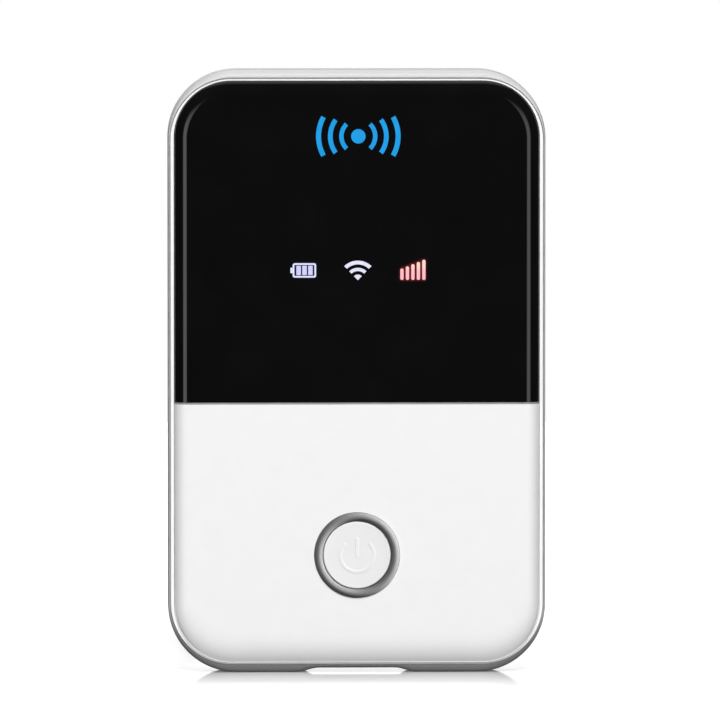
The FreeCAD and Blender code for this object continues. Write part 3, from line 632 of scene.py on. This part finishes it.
def notch_height(x, y):
    """How far the charging notch rises: flat in the middle, S-shaped at the sides, higher at the back."""
    run = (NOTCH_MOUTH - NOTCH_FLOOR) / 2
    back = max((y - BAND_FLAT_FRONT) / (body_high.y - BAND_FLAT_FRONT), 0)
    rise = NOTCH_RISE + (NOTCH_BACK_RISE - NOTCH_RISE) * back
    return rise * ease((NOTCH_MOUTH / 2 - abs(x)) / run)


def band_edge(share, flat, edge):
    """The band's outline on its rounded edge, from share 0 where it is flat to 1 at the very edge."""
    angle = math.pi / 2 * share
    drop = 1 - math.cos(angle)
    return ring(shrink(BODY, SIDE_TUCK * drop, END_TUCK * drop), flat + (edge - flat) * math.sin(angle))


def make_band():
    """The silver band with its rounded, tucked ends, the notch and the hole for the charging port."""
    rows = [band_edge(1 - step / EDGE_STEPS, BAND_FLAT_FRONT, body_low.y) for step in range(EDGE_STEPS + 1)]
    for step in range(1, FLAT_STEPS):
        rows.append(ring(BODY, BAND_FLAT_FRONT + (BAND_FLAT_BACK - BAND_FLAT_FRONT) * step / FLAT_STEPS))
    rows += [band_edge(step / EDGE_STEPS, BAND_FLAT_BACK, body_high.y) for step in range(EDGE_STEPS + 1)]
    for point in chain(*rows):
        if point.z < END_TUCK:
            point.z += notch_height(point.x, point.y) * (1 - point.z / END_TUCK)
    rows.append(ring(CAVITY, body_high.y))
    rows.append(ring(CAVITY, GROOVE_FLOOR))
    lip = shrink(BODY, SIDE_TUCK + GROOVE_LIP, END_TUCK + GROOVE_LIP)
    rows.append(ring(lip, GROOVE_FLOOR))
    groove_top = body_low.y + GROOVE_LIP
    for point in chain(*rows[-2:]):
        share = ease((point.z - GROOVE_START) / (GROOVE_FULL - GROOVE_START))
        point.y = groove_top + (GROOVE_FLOOR - groove_top) * share
    rows.append(ring(lip, body_low.y))
    band = as_object("case_band", skin(rows, joined=True))
    carve(band, make_port_cutter())
    smooth(band, 40)
    return finish_piece(band, "silver_band", "mid_frame")


def make_port_cutter():
    """The rounded hole for the charging plug, through the bottom of the band."""
    usb_low, usb_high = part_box("usb_shell")
    margin = 0.45 * MM
    corner = 0.9 * MM
    below, above = -1 * MM, 4 * MM
    loop = rounded_loop(usb_low.x - margin, usb_low.y - margin, usb_high.x + margin, usb_high.y + margin,
                        corner, 10)
    return as_object("tool", skin([[Vector((x, y, height)) for x, y in loop] for height in (below, above)]))


def rim_step(height):
    """How much further forward the rim of the face stands, at a height."""
    return RIM_STEP * ease((RIM_STEP_END - height) / (RIM_STEP_END - RIM_STEP_START))


def make_trim_ring():
    """The bright ring: stepped in at the back, with a soft front edge."""
    gap = 0.05 * MM
    bore = shrink(FACE, -gap, -gap)
    bore_drop = 0.02 * MM
    step_y = RIM_BACK - 0.2 * MM
    inset = 0.15 * MM
    lip = 0.05 * MM
    rows = [
        ring(shrink(RING, inset, inset), GROOVE_FLOOR),
        ring(shrink(RING, inset, inset), step_y),
        ring(RING, step_y),
        ring(RING, RIM_FRONT + lip),
    ]
    for degrees in (30, 60, 90):
        angle = math.radians(degrees)
        drop = lip * (1 - math.cos(angle))
        rows.append(ring(shrink(RING, drop, drop), RIM_FRONT + lip * (1 - math.sin(angle))))
    rows.append(ring(bore, RIM_FRONT + bore_drop))
    for point in chain(*rows[3:]):
        point.y -= rim_step(point.z)
    for point in chain(*rows[3:-1]):
        point.y += RING_TILT * rim_step(point.z) / RIM_STEP
    rows.append(ring(bore, RIM_BACK))
    trim = as_object("face_trim", skin(rows, joined=True))
    smooth(trim, 35)
    finish_piece(trim, "bright_trim", "trim_ring")


def bring_forward(rows):
    """Move the points near the lower end forward, where the rim stands further out."""
    for point in chain(*rows):
        point.y = min(point.y, RIM_FRONT - rim_step(point.z))
    return rows


def face_pillow(name, back):
    """The whole face as one block: flat at the back, with its rounded edge at the front."""
    rows = [ring(FACE, back)]
    rows += bring_forward(crown_rings(FACE, RIM_FRONT, FACE_FRONT, FACE_CROWN, lower_face_inset))
    middle = FACE_CROWN + LOWER_ROLL
    rows.append(ring(shrink(FACE, middle, middle), FACE_FRONT))
    return as_object(name, skin(rows))


def make_window():
    """The black gloss panel above the split."""
    window = face_pillow("display_panel", window_high.y)
    carve(window, block((-FAR, -FAR, -FAR), (FAR, FAR, SPLIT_Z + SPLIT_ABOVE)))
    smooth(window)
    soften(window, 0.14 * MM)
    finish_piece(window, "black_window", "display_window")


def make_split_shade():
    """A thin grey strip of painted shade that fills the split between the window and the face, where the
    gap is shaded.
    """
    clearance = 0.01 * MM
    sunk = 0.06 * MM
    shade_strip = face_pillow("split_shade_strip", window_high.y - sunk)
    carve(shade_strip, block((-FAR, -FAR, SPLIT_Z + SPLIT_ABOVE - clearance), (FAR, FAR, FAR)))
    carve(shade_strip, block((-FAR, -FAR, -FAR), (FAR, FAR, SPLIT_Z - SPLIT_BELOW + clearance)))
    for vertex in shade_strip.data.vertices:
        vertex.co.y += sunk
    smooth(shade_strip)
    finish_piece(shade_strip, "silver_band", look="split_shade_strip")


def add_bosses(face):
    """Add the four bosses that the housing screws turn into."""
    radius = 1.9 * MM
    front, back = -4.2 * MM, 0.2 * MM
    bore_front, bore_back = -3.2 * MM, 1 * MM
    for x, z in HOUSING_SCREWS:
        boss = bar(x, z, radius, front, back, 40)
        carve(boss, bar(x, z, SCREW_RADIUS + 0.02 * MM, bore_front, bore_back, 24))
        weld(face, boss)


def make_face():
    """The white front shell: face below the split, recess above it, skirt, bosses and button hole."""
    face = face_pillow("front_case", RIM_BACK)
    carve(face, block((-FAR, -FAR, SPLIT_Z - SPLIT_BELOW), (FAR, RECESS_FLOOR, FAR)))
    skirt = shrink(CAVITY, 0.1 * MM, 0.1 * MM)
    inside = shrink(skirt, 0.9 * MM, 0.9 * MM)
    skirt_front, skirt_back = RIM_BACK - 0.3 * MM, -2.6 * MM
    weld(face, as_object("tool", skin([ring(skirt, skirt_front), ring(skirt, skirt_back)])))
    inside_front, inside_back = -4.0 * MM, 1 * MM
    carve(face, as_object("tool", skin([ring(inside, inside_front), ring(inside, inside_back)])))
    pocket_inset = 4 * MM
    pocket_back = inside_front + 0.1 * MM
    pocket_top = SPLIT_Z - 0.7 * MM
    pocket_x = inside.width / 2 - pocket_inset
    carve(face, block((-pocket_x, SKIN_BACK, MIDDLE_Z - inside.height / 2 + pocket_inset),
                      (pocket_x, pocket_back, pocket_top)))
    seat_radius = (bezel_high.x - bezel_low.x) / 2 + 0.03 * MM
    hole_radius = 5.42 * MM
    hole_front, hole_back = -8 * MM, -3.5 * MM
    carve(face, bar(0, BEAD_Z, seat_radius, hole_front, bezel_high.y))
    carve(face, bar(0, BEAD_Z, hole_radius, hole_front, hole_back))
    add_bosses(face)
    # Openings for the light of the icons.
    light_half = 3.2 * MM
    light_low, light_high = 62.9 * MM, 66.5 * MM
    for x in (-8.75 * MM, 0.0, 8.75 * MM):
        carve(face, block((x - light_half, RECESS_FLOOR - 1.3 * MM, light_low),
                          (x + light_half, hole_back, light_high)))
    smooth(face)
    soften(face, 0.1 * MM, 2)
    finish_piece(face, "white_shell", "front_shell")


def make_cover():
    """The white battery cover: rounded edge, hollow inside, snap tabs and nail notch."""
    rim_y, shoulder, inside_y = 5.4 * MM, 5.9 * MM, 6.0 * MM
    inside = shrink(COVER, COVER_CROWN, COVER_CROWN)
    rows = [ring(shrink(inside, FLAT_MARGIN, FLAT_MARGIN), inside_y), ring(inside, inside_y),
            ring(inside, rim_y), ring(COVER, rim_y)]
    rows += crown_rings(COVER, shoulder, cover_high.y, COVER_CROWN)
    rows.append(ring(shrink(COVER, COVER_CROWN + FLAT_MARGIN, COVER_CROWN + FLAT_MARGIN), cover_high.y))
    cover = as_object("back_cover", skin(rows))
    tab_back = inside_y + 0.2 * MM
    tab_length, half_thick = 6 * MM, 0.3 * MM
    side_x, end_x, end_z = 27.05 * MM, 12 * MM, 43.75 * MM
    for side in (-1, 1):
        for up in (-24 * MM, 18 * MM):
            weld(cover, block((side * side_x - half_thick, cover_low.y, MIDDLE_Z + up),
                              (side * side_x + half_thick, tab_back, MIDDLE_Z + up + tab_length)))
        x, z = side * end_x, MIDDLE_Z + side * end_z
        weld(cover, block((x - tab_length / 2, cover_low.y, z - half_thick),
                          (x + tab_length / 2, tab_back, z + half_thick)))
    nail_x, nail_radius, nail_front = 18 * MM, 4 * MM, 5 * MM
    nail_z = MIDDLE_Z - COVER.height / 2 - 3.3 * MM
    carve(cover, bar(nail_x, nail_z, nail_radius, nail_front, shoulder))
    smooth(cover)
    soften(cover, 0.08 * MM, 2)
    finish_piece(cover, "white_cover", "battery_cover", body="cover")


# ---- power button

SYMBOL_RADIUS = 2.7 * MM
SYMBOL_STROKE = 0.5 * MM
SYMBOL_OPENING = 50
SYMBOL_EDGE = 0.12 * MM
STEM_LOW = -0.15 * MM
STEM_HIGH = 2.55 * MM
SYMBOL_HEIGHT = 0.045 * MM


def symbol_distance(x, z):
    """Distance from a point on the cap to the middle line of the power symbol."""
    angle = math.degrees(math.atan2(x, z))
    if abs(angle) >= SYMBOL_OPENING:
        arc = abs(math.hypot(x, z) - SYMBOL_RADIUS)
    else:
        end_x = math.copysign(SYMBOL_RADIUS * math.sin(math.radians(SYMBOL_OPENING)), x)
        end_z = SYMBOL_RADIUS * math.cos(math.radians(SYMBOL_OPENING))
        arc = math.hypot(x - end_x, z - end_z)
    stem = math.hypot(x, z - min(max(z, STEM_LOW), STEM_HIGH))
    return min(arc, stem)


def symbol_height(x, z):
    """How far the power symbol stands up at a point on the cap."""
    inside = (SYMBOL_STROKE + SYMBOL_EDGE) / 2 - symbol_distance(x, z)
    return SYMBOL_HEIGHT * ease(inside / SYMBOL_EDGE)


def make_button():
    """The moving cap: slightly dished, with a soft edge and the raised power symbol."""
    middle_z = (cap_low.z + cap_high.z) / 2
    front = cap_low.y + SYMBOL_HEIGHT
    radius = 5.38 * MM
    edge = 0.2 * MM
    dish = 0.05 * MM
    steps = 224
    flat_rows = 56
    profile = []
    for step in range(1, flat_rows + 1):
        share = step / flat_rows
        profile.append((share * (radius - edge), front + dish * (1 - share * share)))
    for angle in range(10, 91, 10):
        turn = math.radians(angle)
        profile.append((radius - edge * (1 - math.sin(turn)), front + edge * (1 - math.cos(turn))))
    flange_front = -5.15 * MM
    flange_radius = (cap_high.x - cap_low.x) / 2
    profile += [(radius, flange_front), (flange_radius, flange_front), (flange_radius, cap_high.y)]
    mesh = turned(profile, 0, middle_z, steps)
    for vertex in mesh.verts:
        if vertex.co.y < front + edge / 2:
            vertex.co.y -= symbol_height(vertex.co.x, vertex.co.z - middle_z)
    button = as_object("button_cap", mesh)
    smooth(button, 40)
    return finish_piece(button, "white_button", "power_button", body="button")


def make_bezel():
    """The polished bead round the button."""
    outer = (bezel_high.x - bezel_low.x) / 2
    inner = 5.46 * MM
    half = (outer - inner) / 2
    shoulder = bezel_low.y + half
    profile = [(inner, bezel_high.y), (inner, shoulder)]
    steps = 32
    for step in range(1, steps):
        angle = math.pi * step / steps
        profile.append((inner + half * (1 - math.cos(angle)), shoulder - half * math.sin(angle)))
    profile += [(outer, shoulder), (outer, bezel_high.y)]
    bezel = as_object("button_bead", turned(profile, 0, BEAD_Z, 192, joined=True))
    smooth(bezel, 40)
    return finish_piece(bezel, "polished_bead", "button_bezel")


# ---- icons on the window

ICON_THICK = 0.02 * MM
ICON_Z = 64.59 * MM


def make_icon(name, shapes, slot, look=None, thick=ICON_THICK):
    """A thin printed or lit shape on the front of the window."""
    finish_piece(plate(name, shapes, FACE_FRONT - thick, thick), slot, look=look)


def make_battery_icon():
    """A battery outline with its nub on the left and three bars, on a faint blue halo."""
    x, half_x, half_z = -8.41 * MM, 1.87 * MM, 1.15 * MM
    wall = 0.27 * MM
    shapes = [[centred_loop(x, ICON_Z, half_x, half_z, 0.35 * MM),
               centred_loop(x, ICON_Z, half_x - wall, half_z - wall, 0.12 * MM)]]
    nub_x, nub_half_x, nub_half_z = x - half_x - 0.19 * MM, 0.17 * MM, 0.45 * MM
    shapes.append([centred_loop(nub_x, ICON_Z, nub_half_x, nub_half_z, 0.12 * MM)])
    make_icon("icon_battery", shapes, "icon_white")
    bar_half_x, bar_half_z = 0.36 * MM, 0.75 * MM
    bars = [[centred_loop(bar_x, ICON_Z, bar_half_x, bar_half_z, 0.08 * MM)]
            for bar_x in (-9.33 * MM, -8.39 * MM, -7.45 * MM)]
    make_icon("icon_charge", bars, "icon_white", "icon_lavender")
    margin = 0.12 * MM
    halo = centred_loop(x, ICON_Z, half_x + margin, half_z + margin, 0.4 * MM)
    make_icon("icon_halo", [[halo]], "icon_white", "icon_blue_halo", 0.008 * MM)


def make_wifi_icon():
    """Two arcs over a wedge."""
    x, z = 0.13 * MM, 63.02 * MM
    low, high = 90 - 44, 90 + 44
    shapes = [[arc_band(x, z, inner * MM, outer * MM, low, high)]
              for inner, outer in ((2.52, 3.12), (1.45, 1.98))]
    wedge = arc_band(x, z, 0.0, 0.90 * MM, low, high)[:ARC_STEPS + 2]
    make_icon("icon_wifi", shapes + [[wedge]], "icon_white")


def make_signal_icon():
    """Five round-ended bars that grow to the right, in a soft red glow."""
    half_width = SIGNAL_WIDTH / 2
    shapes = []
    for step in range(SIGNAL_BARS):
        middle = SIGNAL_LEFT + step * SIGNAL_PITCH
        top = SIGNAL_FIRST_TOP + step * SIGNAL_RISE
        shapes.append([rounded_loop(middle - half_width, SIGNAL_BOTTOM, middle + half_width, top,
                                    half_width - 0.01 * MM)])
    make_icon("icon_signal", shapes, "icon_red")
    last = SIGNAL_LEFT + (SIGNAL_BARS - 1) * SIGNAL_PITCH
    for step, margin in enumerate(GLOW_MARGINS):
        half = half_width + margin
        first_top = SIGNAL_FIRST_TOP + margin
        last_top = first_top + (SIGNAL_BARS - 1) * SIGNAL_RISE
        outline = [
            (SIGNAL_LEFT - half, SIGNAL_BOTTOM), (SIGNAL_LEFT - half / 2, SIGNAL_BOTTOM - margin),
            (last + half / 2, SIGNAL_BOTTOM - margin), (last + half, SIGNAL_BOTTOM),
            (last + half, last_top - half / 2), (last + half / 2, last_top),
            (last - half / 2, last_top), (SIGNAL_LEFT - half / 2, first_top),
            (SIGNAL_LEFT - half, first_top - half / 2),
        ]
        make_icon("signal_" + glow_name(step), [[outline]], "icon_red", glow_name(step),
                  GLOW_THICK + GLOW_LAYER * step)


def make_mark():
    """A plain blue broadcast sign: a dot with three waves on each side."""
    x, z = 0.2 * MM, 86.0 * MM
    shapes = [[disc_loop(x, z, 1.15 * MM)]]
    for inner, outer, half in ((2.35, 3.05, 46), (4.1, 4.85, 36), (5.95, 6.75, 29)):
        for middle in (0, 180):
            shapes.append([arc_band(x, z, inner * MM, outer * MM, middle - half, middle + half)])
    make_icon("printed_mark", shapes, "mark_blue")


# ---- parts seen when it is open

def make_screws():
    """The four housing screws: domed heads with a cross, on plain shafts."""
    low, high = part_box("housing_screws")
    head_radius, head_thick = 1.3 * MM, 0.8 * MM
    dome = ((head_radius, 0.35 * MM), (1.2 * MM, 0.12 * MM), (1.0 * MM, 0.03 * MM), (0.7 * MM, 0.0))
    arm, slot, depth = 0.8 * MM, 0.17 * MM, 0.4 * MM
    under = high.y - head_thick
    profile = [(SCREW_RADIUS, low.y), (SCREW_RADIUS, under), (head_radius, under)]
    profile += [(radius, high.y - below) for radius, below in dome]
    made = []
    for x, z in HOUSING_SCREWS:
        screw = as_object("screw", turned(profile, x, z, 48))
        for reach_x, reach_z in ((arm, slot), (slot, arm)):
            carve(screw, block((x - reach_x, high.y - depth, z - reach_z),
                               (x + reach_x, high.y + depth, z + reach_z)))
        made.append(screw)
    screws = smooth(gather("tray_screws", made), 30)
    finish_piece(screws, "screw_steel", "housing_screws")


BATTERY_END = 3.2 * MM
CONTACT_COUNT = 4


def make_battery():
    """The flat battery: a wrapped pouch, a black end piece and four gold terminals in its top end."""
    low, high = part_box("battery_pack")
    body = block(low, (high.x, high.y, high.z - BATTERY_END))
    body.name = "battery_body"
    smooth(settle(soften(body, 0.9 * MM, 5)), 50)
    finish_piece(body, "battery_wrap", "battery_pack", body="battery")
    inset, overlap, sunk = 0.15 * MM, 1.2 * MM, 0.03 * MM
    end = block((low.x + inset, low.y + inset, high.z - BATTERY_END - overlap),
                (high.x - inset, high.y - inset, high.z - sunk))
    end.name = "battery_end"
    smooth(settle(soften(end, 0.5 * MM, 4)), 50)
    finish_piece(end, "black_plastic", body="battery")
    blade_low, blade_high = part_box("battery_contacts")
    half, margin, thick = 0.8 * MM, 0.3 * MM, 0.3 * MM
    blade_half = 0.5 * MM
    first, last = blade_low.x + blade_half, blade_high.x - blade_half
    pads = []
    for step in range(CONTACT_COUNT):
        x = first + (last - first) * step / (CONTACT_COUNT - 1)
        pads.append(block((x - half, blade_low.y - margin, high.z - thick),
                          (x + half, blade_high.y + margin, high.z)))
    finish_piece(gather("battery_terminals", pads), "gold_contact", body="battery")


def make_sticker():
    """The blank label on the battery, with round corners."""
    low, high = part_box("battery_label")
    loop = rounded_loop(low.x, low.z, high.x, high.z, 1.5 * MM)
    sticker = plate("battery_sticker", [[loop]], low.y, high.y - low.y)
    finish_piece(sticker, "paper_label", "battery_label", body="battery")


def make_sim():
    """The SIM card: one cut corner, eight gold pads in front and an arrow behind."""
    low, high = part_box("sim_card")
    steps = 6
    cut, proud, print_thick = 3.0 * MM, 0.01 * MM, 0.05 * MM
    outline = rounded_loop(low.x, low.z, high.x, high.z, 1.0 * MM, steps)
    outline[2 * (steps + 1):3 * (steps + 1)] = [(low.x + cut, high.z), (low.x, high.z - cut)]
    card = plate("sim_plate", [[outline]], low.y + proud, high.y - low.y - 2 * proud)
    finish_piece(card, "card_white", "sim_card", body="sim")
    pad_width, pad_tall, pitch_x, pitch_z = 4.6 * MM, 2.1 * MM, 5.6 * MM, 2.6 * MM
    pads = []
    for column in range(2):
        for row in range(4):
            left = low.x + 3.0 * MM + pitch_x * column
            bottom = low.z + 2.5 * MM + pitch_z * row
            pads.append([rounded_loop(left, bottom, left + pad_width, bottom + pad_tall, 0.5 * MM)])
    finish_piece(plate("sim_contacts", pads, low.y, print_thick), "gold_contact", body="sim")
    tip, middle = low.x + 15.0 * MM, (low.z + high.z) / 2
    neck, end = tip + 2.5 * MM, tip + 6.5 * MM
    head, stem = 2.2 * MM, 0.8 * MM
    shape = [(tip, middle), (neck, middle - head), (neck, middle - stem), (end, middle - stem),
             (end, middle + stem), (neck, middle + stem), (neck, middle + head)]
    arrow = plate("sim_arrow", [[shape]], high.y - print_thick, print_thick)
    finish_piece(arrow, "grey_rubber", body="sim")


PORT_WALL = 0.3 * MM
PORT_SLOPE = 0.9 * MM
PORT_CONTACTS = 5


def port_ring(low, high, inset, height):
    """The charging port's outline at one height: a rectangle with two sloped corners in front."""
    middle = (low.y + high.y) / 2
    left, right = low.x + inset, high.x - inset
    front, back = low.y + inset, high.y - inset
    corners = ((left, back), (left, middle), (left + PORT_SLOPE, front), (right - PORT_SLOPE, front),
               (right, middle), (right, back))
    return [Vector((x, y, height)) for x, y in corners]


def make_port():
    """The steel shell of the charging port and the gold strips on its tongue."""
    low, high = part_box("usb_shell")
    levels = ((PORT_WALL, high.z - PORT_WALL), (PORT_WALL, low.z), (0, low.z), (0, high.z))
    rows = [port_ring(low, high, inset, height) for inset, height in levels]
    shell = as_object("port_shell", skin(rows))
    soften(shell, 0.08 * MM, 2)
    finish_piece(shell, "socket_steel", "usb_shell")
    tongue_low, tongue_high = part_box("usb_tongue")
    pitch, half, sunk, proud, short = 0.65 * MM, 0.16 * MM, 0.05 * MM, 0.03 * MM, 0.2 * MM
    pads = []
    for step in range(PORT_CONTACTS):
        x = (step - (PORT_CONTACTS - 1) / 2) * pitch
        pads.append(block((x - half, tongue_high.y - sunk, tongue_low.z + short),
                          (x + half, tongue_high.y + proud, tongue_high.z)))
    finish_piece(gather("port_contacts", pads), "gold_contact")


# ---- carried-over nodes

# How far the edges of these nodes are rounded.
EDGE_SOFTNESS = {
    0.08 * MM: ("sim_socket", "usb_tongue", "modem_chip", "wifi_chip", "reset_switch", "power_switch",
                "light_baffle"),
    0.1 * MM: ("capacitors", "status_leds"),
    0.12 * MM: ("switch_stem",),
    0.15 * MM: ("rear_housing", "contact_block", "battery_contacts", "button_plunger"),
    0.2 * MM: ("modem_shield", "wifi_shield", "thermal_pad", "reset_button"),
}


def dress_nodes():
    """Give every node that still shows the finish of its slot, and round its edges."""
    for entry in frame["record"]["subparts"]:
        node = frame["nodes"][entry["node"]]
        if node.hide_render:
            continue
        paint(node, entry["material_slot"])
    for width, names in EDGE_SOFTNESS.items():
        for name in names:
            soften(frame["nodes"][name], width, 2)


# ---- stage

FLOOR_RADIUS = 0.6
FLOOR_TONE = grey(0.85)
FOOT_WIDTH = 40 * MM
FOOT_DEPTH = 2 * MM
MIRROR_REACH = 48 * MM


def make_floor_material():
    """Pale and mirror-like close to the object, and matt further away from it."""
    material = new_material("floor", FLOOR_TONE, 0.06, specular=1.0)
    vary(material, grain(material, 60 * MM), roughness=(0.055, 0.075))
    tree = material.node_tree
    axes = axes_of(tree, place_in(tree))
    squares = []
    for axis, foot in (("X", FOOT_WIDTH), ("Y", FOOT_DEPTH)):
        past = tree_math(tree, "SUBTRACT", tree_math(tree, "ABSOLUTE", axes[axis]), foot / 2)
        past = tree_math(tree, "MAXIMUM", past, 0.0)
        squares.append(product(tree, past, past))
    away = tree_math(tree, "SQRT", tree_math(tree, "ADD", *squares))
    matt = add_node(tree, "BsdfDiffuse", {"Color": (*FLOOR_TONE, 1)})
    mix = add_node(tree, "MixShader", {
        "Fac": soft_step(tree, away, MIRROR_REACH, 0.0),
        1: matt.outputs["BSDF"],
        2: tree.nodes["Principled BSDF"].outputs["BSDF"],
    })
    feed(tree, tree.nodes["Material Output"], {"Surface": mix.outputs["Shader"]})
    return material


def make_floor():
    """A pale satin floor, which mirrors the lower edge of the case."""
    mesh = bmesh.new()
    bmesh.ops.create_circle(mesh, cap_ends=True, segments=96, radius=FLOOR_RADIUS)
    floor = as_object("floor", mesh)
    floor.data.materials.append(make_floor_material())
    floor.visible_diffuse = False
    floor.visible_glossy = False
    return floor


def soft_band(tree, value, low, high, edge):
    """One between low and high, falling smoothly to zero over an edge on each side."""
    rising = soft_step(tree, value, low - edge, low)
    falling = soft_step(tree, value, high + edge, high)
    return product(tree, rising, falling)


# Each soft light of the studio: azimuth from the front towards the right, elevation, and strength.
# Angles are in degrees: low, high and the width of the soft edge.
StudioLight = namedtuple("StudioLight", "azimuth elevation strength")
STUDIO_LIGHTS = (
    StudioLight((-38, -22, 8), (-10, 2, 26), 3.6),
    StudioLight((22, 38, 8), (-10, 2, 26), 3.0),
)
AMBIENT = 0.06
# The wall behind fades in from the sides, and above the horizon, which is in degrees.
BEHIND = 0.4
BEHIND_FADE = (0.55, 0.9)
HORIZON_FADE = (-2.0, 0.0)
OVERHEAD = 0.85
OVERHEAD_ELEVATION = 120
OVERHEAD_CORE = 8
OVERHEAD_REACH = 32


def direction(azimuth, elevation):
    """The way to a place, by its azimuth from the front and its elevation, in degrees."""
    turn, rise = math.radians(azimuth), math.radians(elevation)
    return Vector((math.sin(turn) * math.cos(rise), -math.cos(turn) * math.cos(rise), math.sin(rise)))


def studio_glow(tree):
    """How bright the studio is each way: dim, with a wall behind, a glow overhead and soft low lights."""
    way = place_in(tree, "Generated")
    axes = axes_of(tree, way)
    forward = product(tree, axes["Y"], -1.0)
    azimuth = tree_math(tree, "ARCTAN2", axes["X"], forward)
    azimuth = product(tree, azimuth, math.degrees(1))
    elevation = tree_math(tree, "ARCSINE", axes["Z"])
    elevation = product(tree, elevation, math.degrees(1))
    behind = product(tree, soft_step(tree, axes["Y"], *BEHIND_FADE),
                       soft_step(tree, elevation, *HORIZON_FADE))
    aim = add_node(tree, "VectorMath", {0: way, 1: direction(0, OVERHEAD_ELEVATION)},
                   operation="DOT_PRODUCT")
    overhead = soft_step(tree, aim.outputs["Value"], math.cos(math.radians(OVERHEAD_REACH)),
                         math.cos(math.radians(OVERHEAD_CORE)))
    glows = [(behind, BEHIND), (overhead, OVERHEAD)]
    for light in STUDIO_LIGHTS:
        across = soft_band(tree, azimuth, *light.azimuth)
        upright = soft_band(tree, elevation, *light.elevation)
        glows.append((product(tree, across, upright), light.strength))
    total = AMBIENT
    for glow, strength in glows:
        total = tree_math(tree, "ADD", total, product(tree, glow, strength))
    return total


def make_world():
    """The studio: plain white to the camera, and soft lights for everything else."""
    world = bpy.data.worlds.new("studio")
    bpy.context.scene.world = world
    world.use_nodes = True
    tree = world.node_tree
    tree.nodes.clear()
    light = add_node(tree, "Background", {"Strength": studio_glow(tree)})
    white = add_node(tree, "Background", {"Color": (1, 1, 1, 1)})
    rays = add_node(tree, "LightPath")
    mix = add_node(tree, "MixShader", {
        "Fac": rays.outputs["Is Camera Ray"],
        1: light.outputs["Background"],
        2: white.outputs["Background"],
    })
    add_node(tree, "OutputWorld", {"Surface": mix.outputs["Shader"]})


def place_facing(name, data, target, azimuth, elevation, distance):
    """A lamp or camera at a distance from its target, turned to face it."""
    item = bpy.data.objects.new(name, data)
    bpy.context.scene.collection.objects.link(item)
    away = direction(azimuth, elevation)
    item.location = target + away * distance
    item.rotation_mode = "QUATERNION"
    item.rotation_quaternion = away.to_track_quat("Z", "Y")
    return item


def make_panel(name, azimuth, elevation, power, distance=3.0, size=1.5, only=None, mirrored=False,
               shadows=True):
    """A large soft panel aimed at the middle. It may light one piece only, and show in gloss."""
    data = bpy.data.lights.new(name, "AREA")
    data.shape = "DISK"
    data.size = size
    data.energy = power
    data.use_shadow = shadows
    light = place_facing(name, data, Vector((0, 0, MIDDLE_Z)), azimuth, elevation, distance)
    light.visible_glossy = mirrored
    light.visible_camera = False
    if only:
        group = bpy.data.collections.new(name + "_receivers")
        group.objects.link(only)
        light.light_linking.receiver_collection = group


CAMERA_AZIMUTH = -1.3
CAMERA_ELEVATION = 3.5
CAMERA_DISTANCE = 1.8
CAMERA_TARGET = Vector((0.47 * MM, FACE_FRONT, MIDDLE_Z + 2.0 * MM))
FRAME_WIDTH = 115.0 * MM
SENSOR = 36.0


def make_camera():
    """A long lens a little above and to the left of the face."""
    data = bpy.data.cameras.new("camera")
    data.sensor_width = SENSOR
    data.lens = SENSOR * CAMERA_DISTANCE / FRAME_WIDTH
    data.clip_end = 20
    bpy.context.scene.camera = place_facing("camera", data, CAMERA_TARGET, CAMERA_AZIMUTH, CAMERA_ELEVATION,
                                            CAMERA_DISTANCE)


def make_stage():
    """Camera, floor, studio and the two lights that reach everything."""
    make_camera()
    floor = make_floor()
    make_panel("floor_light", azimuth=0, elevation=80, power=38, size=2.5, only=floor, shadows=False)
    make_panel("floor_backdrop", azimuth=180, elevation=4, power=4.5, distance=2.0, only=floor,
               mirrored=True)
    make_world()
    make_panel("key", azimuth=4, elevation=48, power=112)
    make_panel("rear", azimuth=195, elevation=18, power=78)
    bpy.context.scene.view_settings.view_transform = "Standard"


# ---- build

make_stage()
make_plastics()
make_silver()
make_gloss()
make_polish()
make_metals()
make_board()
make_lights()

band = make_band()
make_panel("band_light", azimuth=0, elevation=35, power=24, only=band)
make_panel("side_light", azimuth=90, elevation=12, power=9, only=band)
make_trim_ring()
make_face()
make_window()
# Painted shade: a grey strip fills the split between window and face.
make_split_shade()
make_cover()
cap = make_button()
make_panel("cap_light", azimuth=78, elevation=2, power=75, only=cap)
bead = make_bezel()
make_panel("bead_light", azimuth=80, elevation=18, power=830, only=bead)
make_battery_icon()
make_wifi_icon()
make_signal_icon()
make_mark()
make_screws()
make_battery()
make_sticker()
make_sim()
make_port()
dress_nodes()
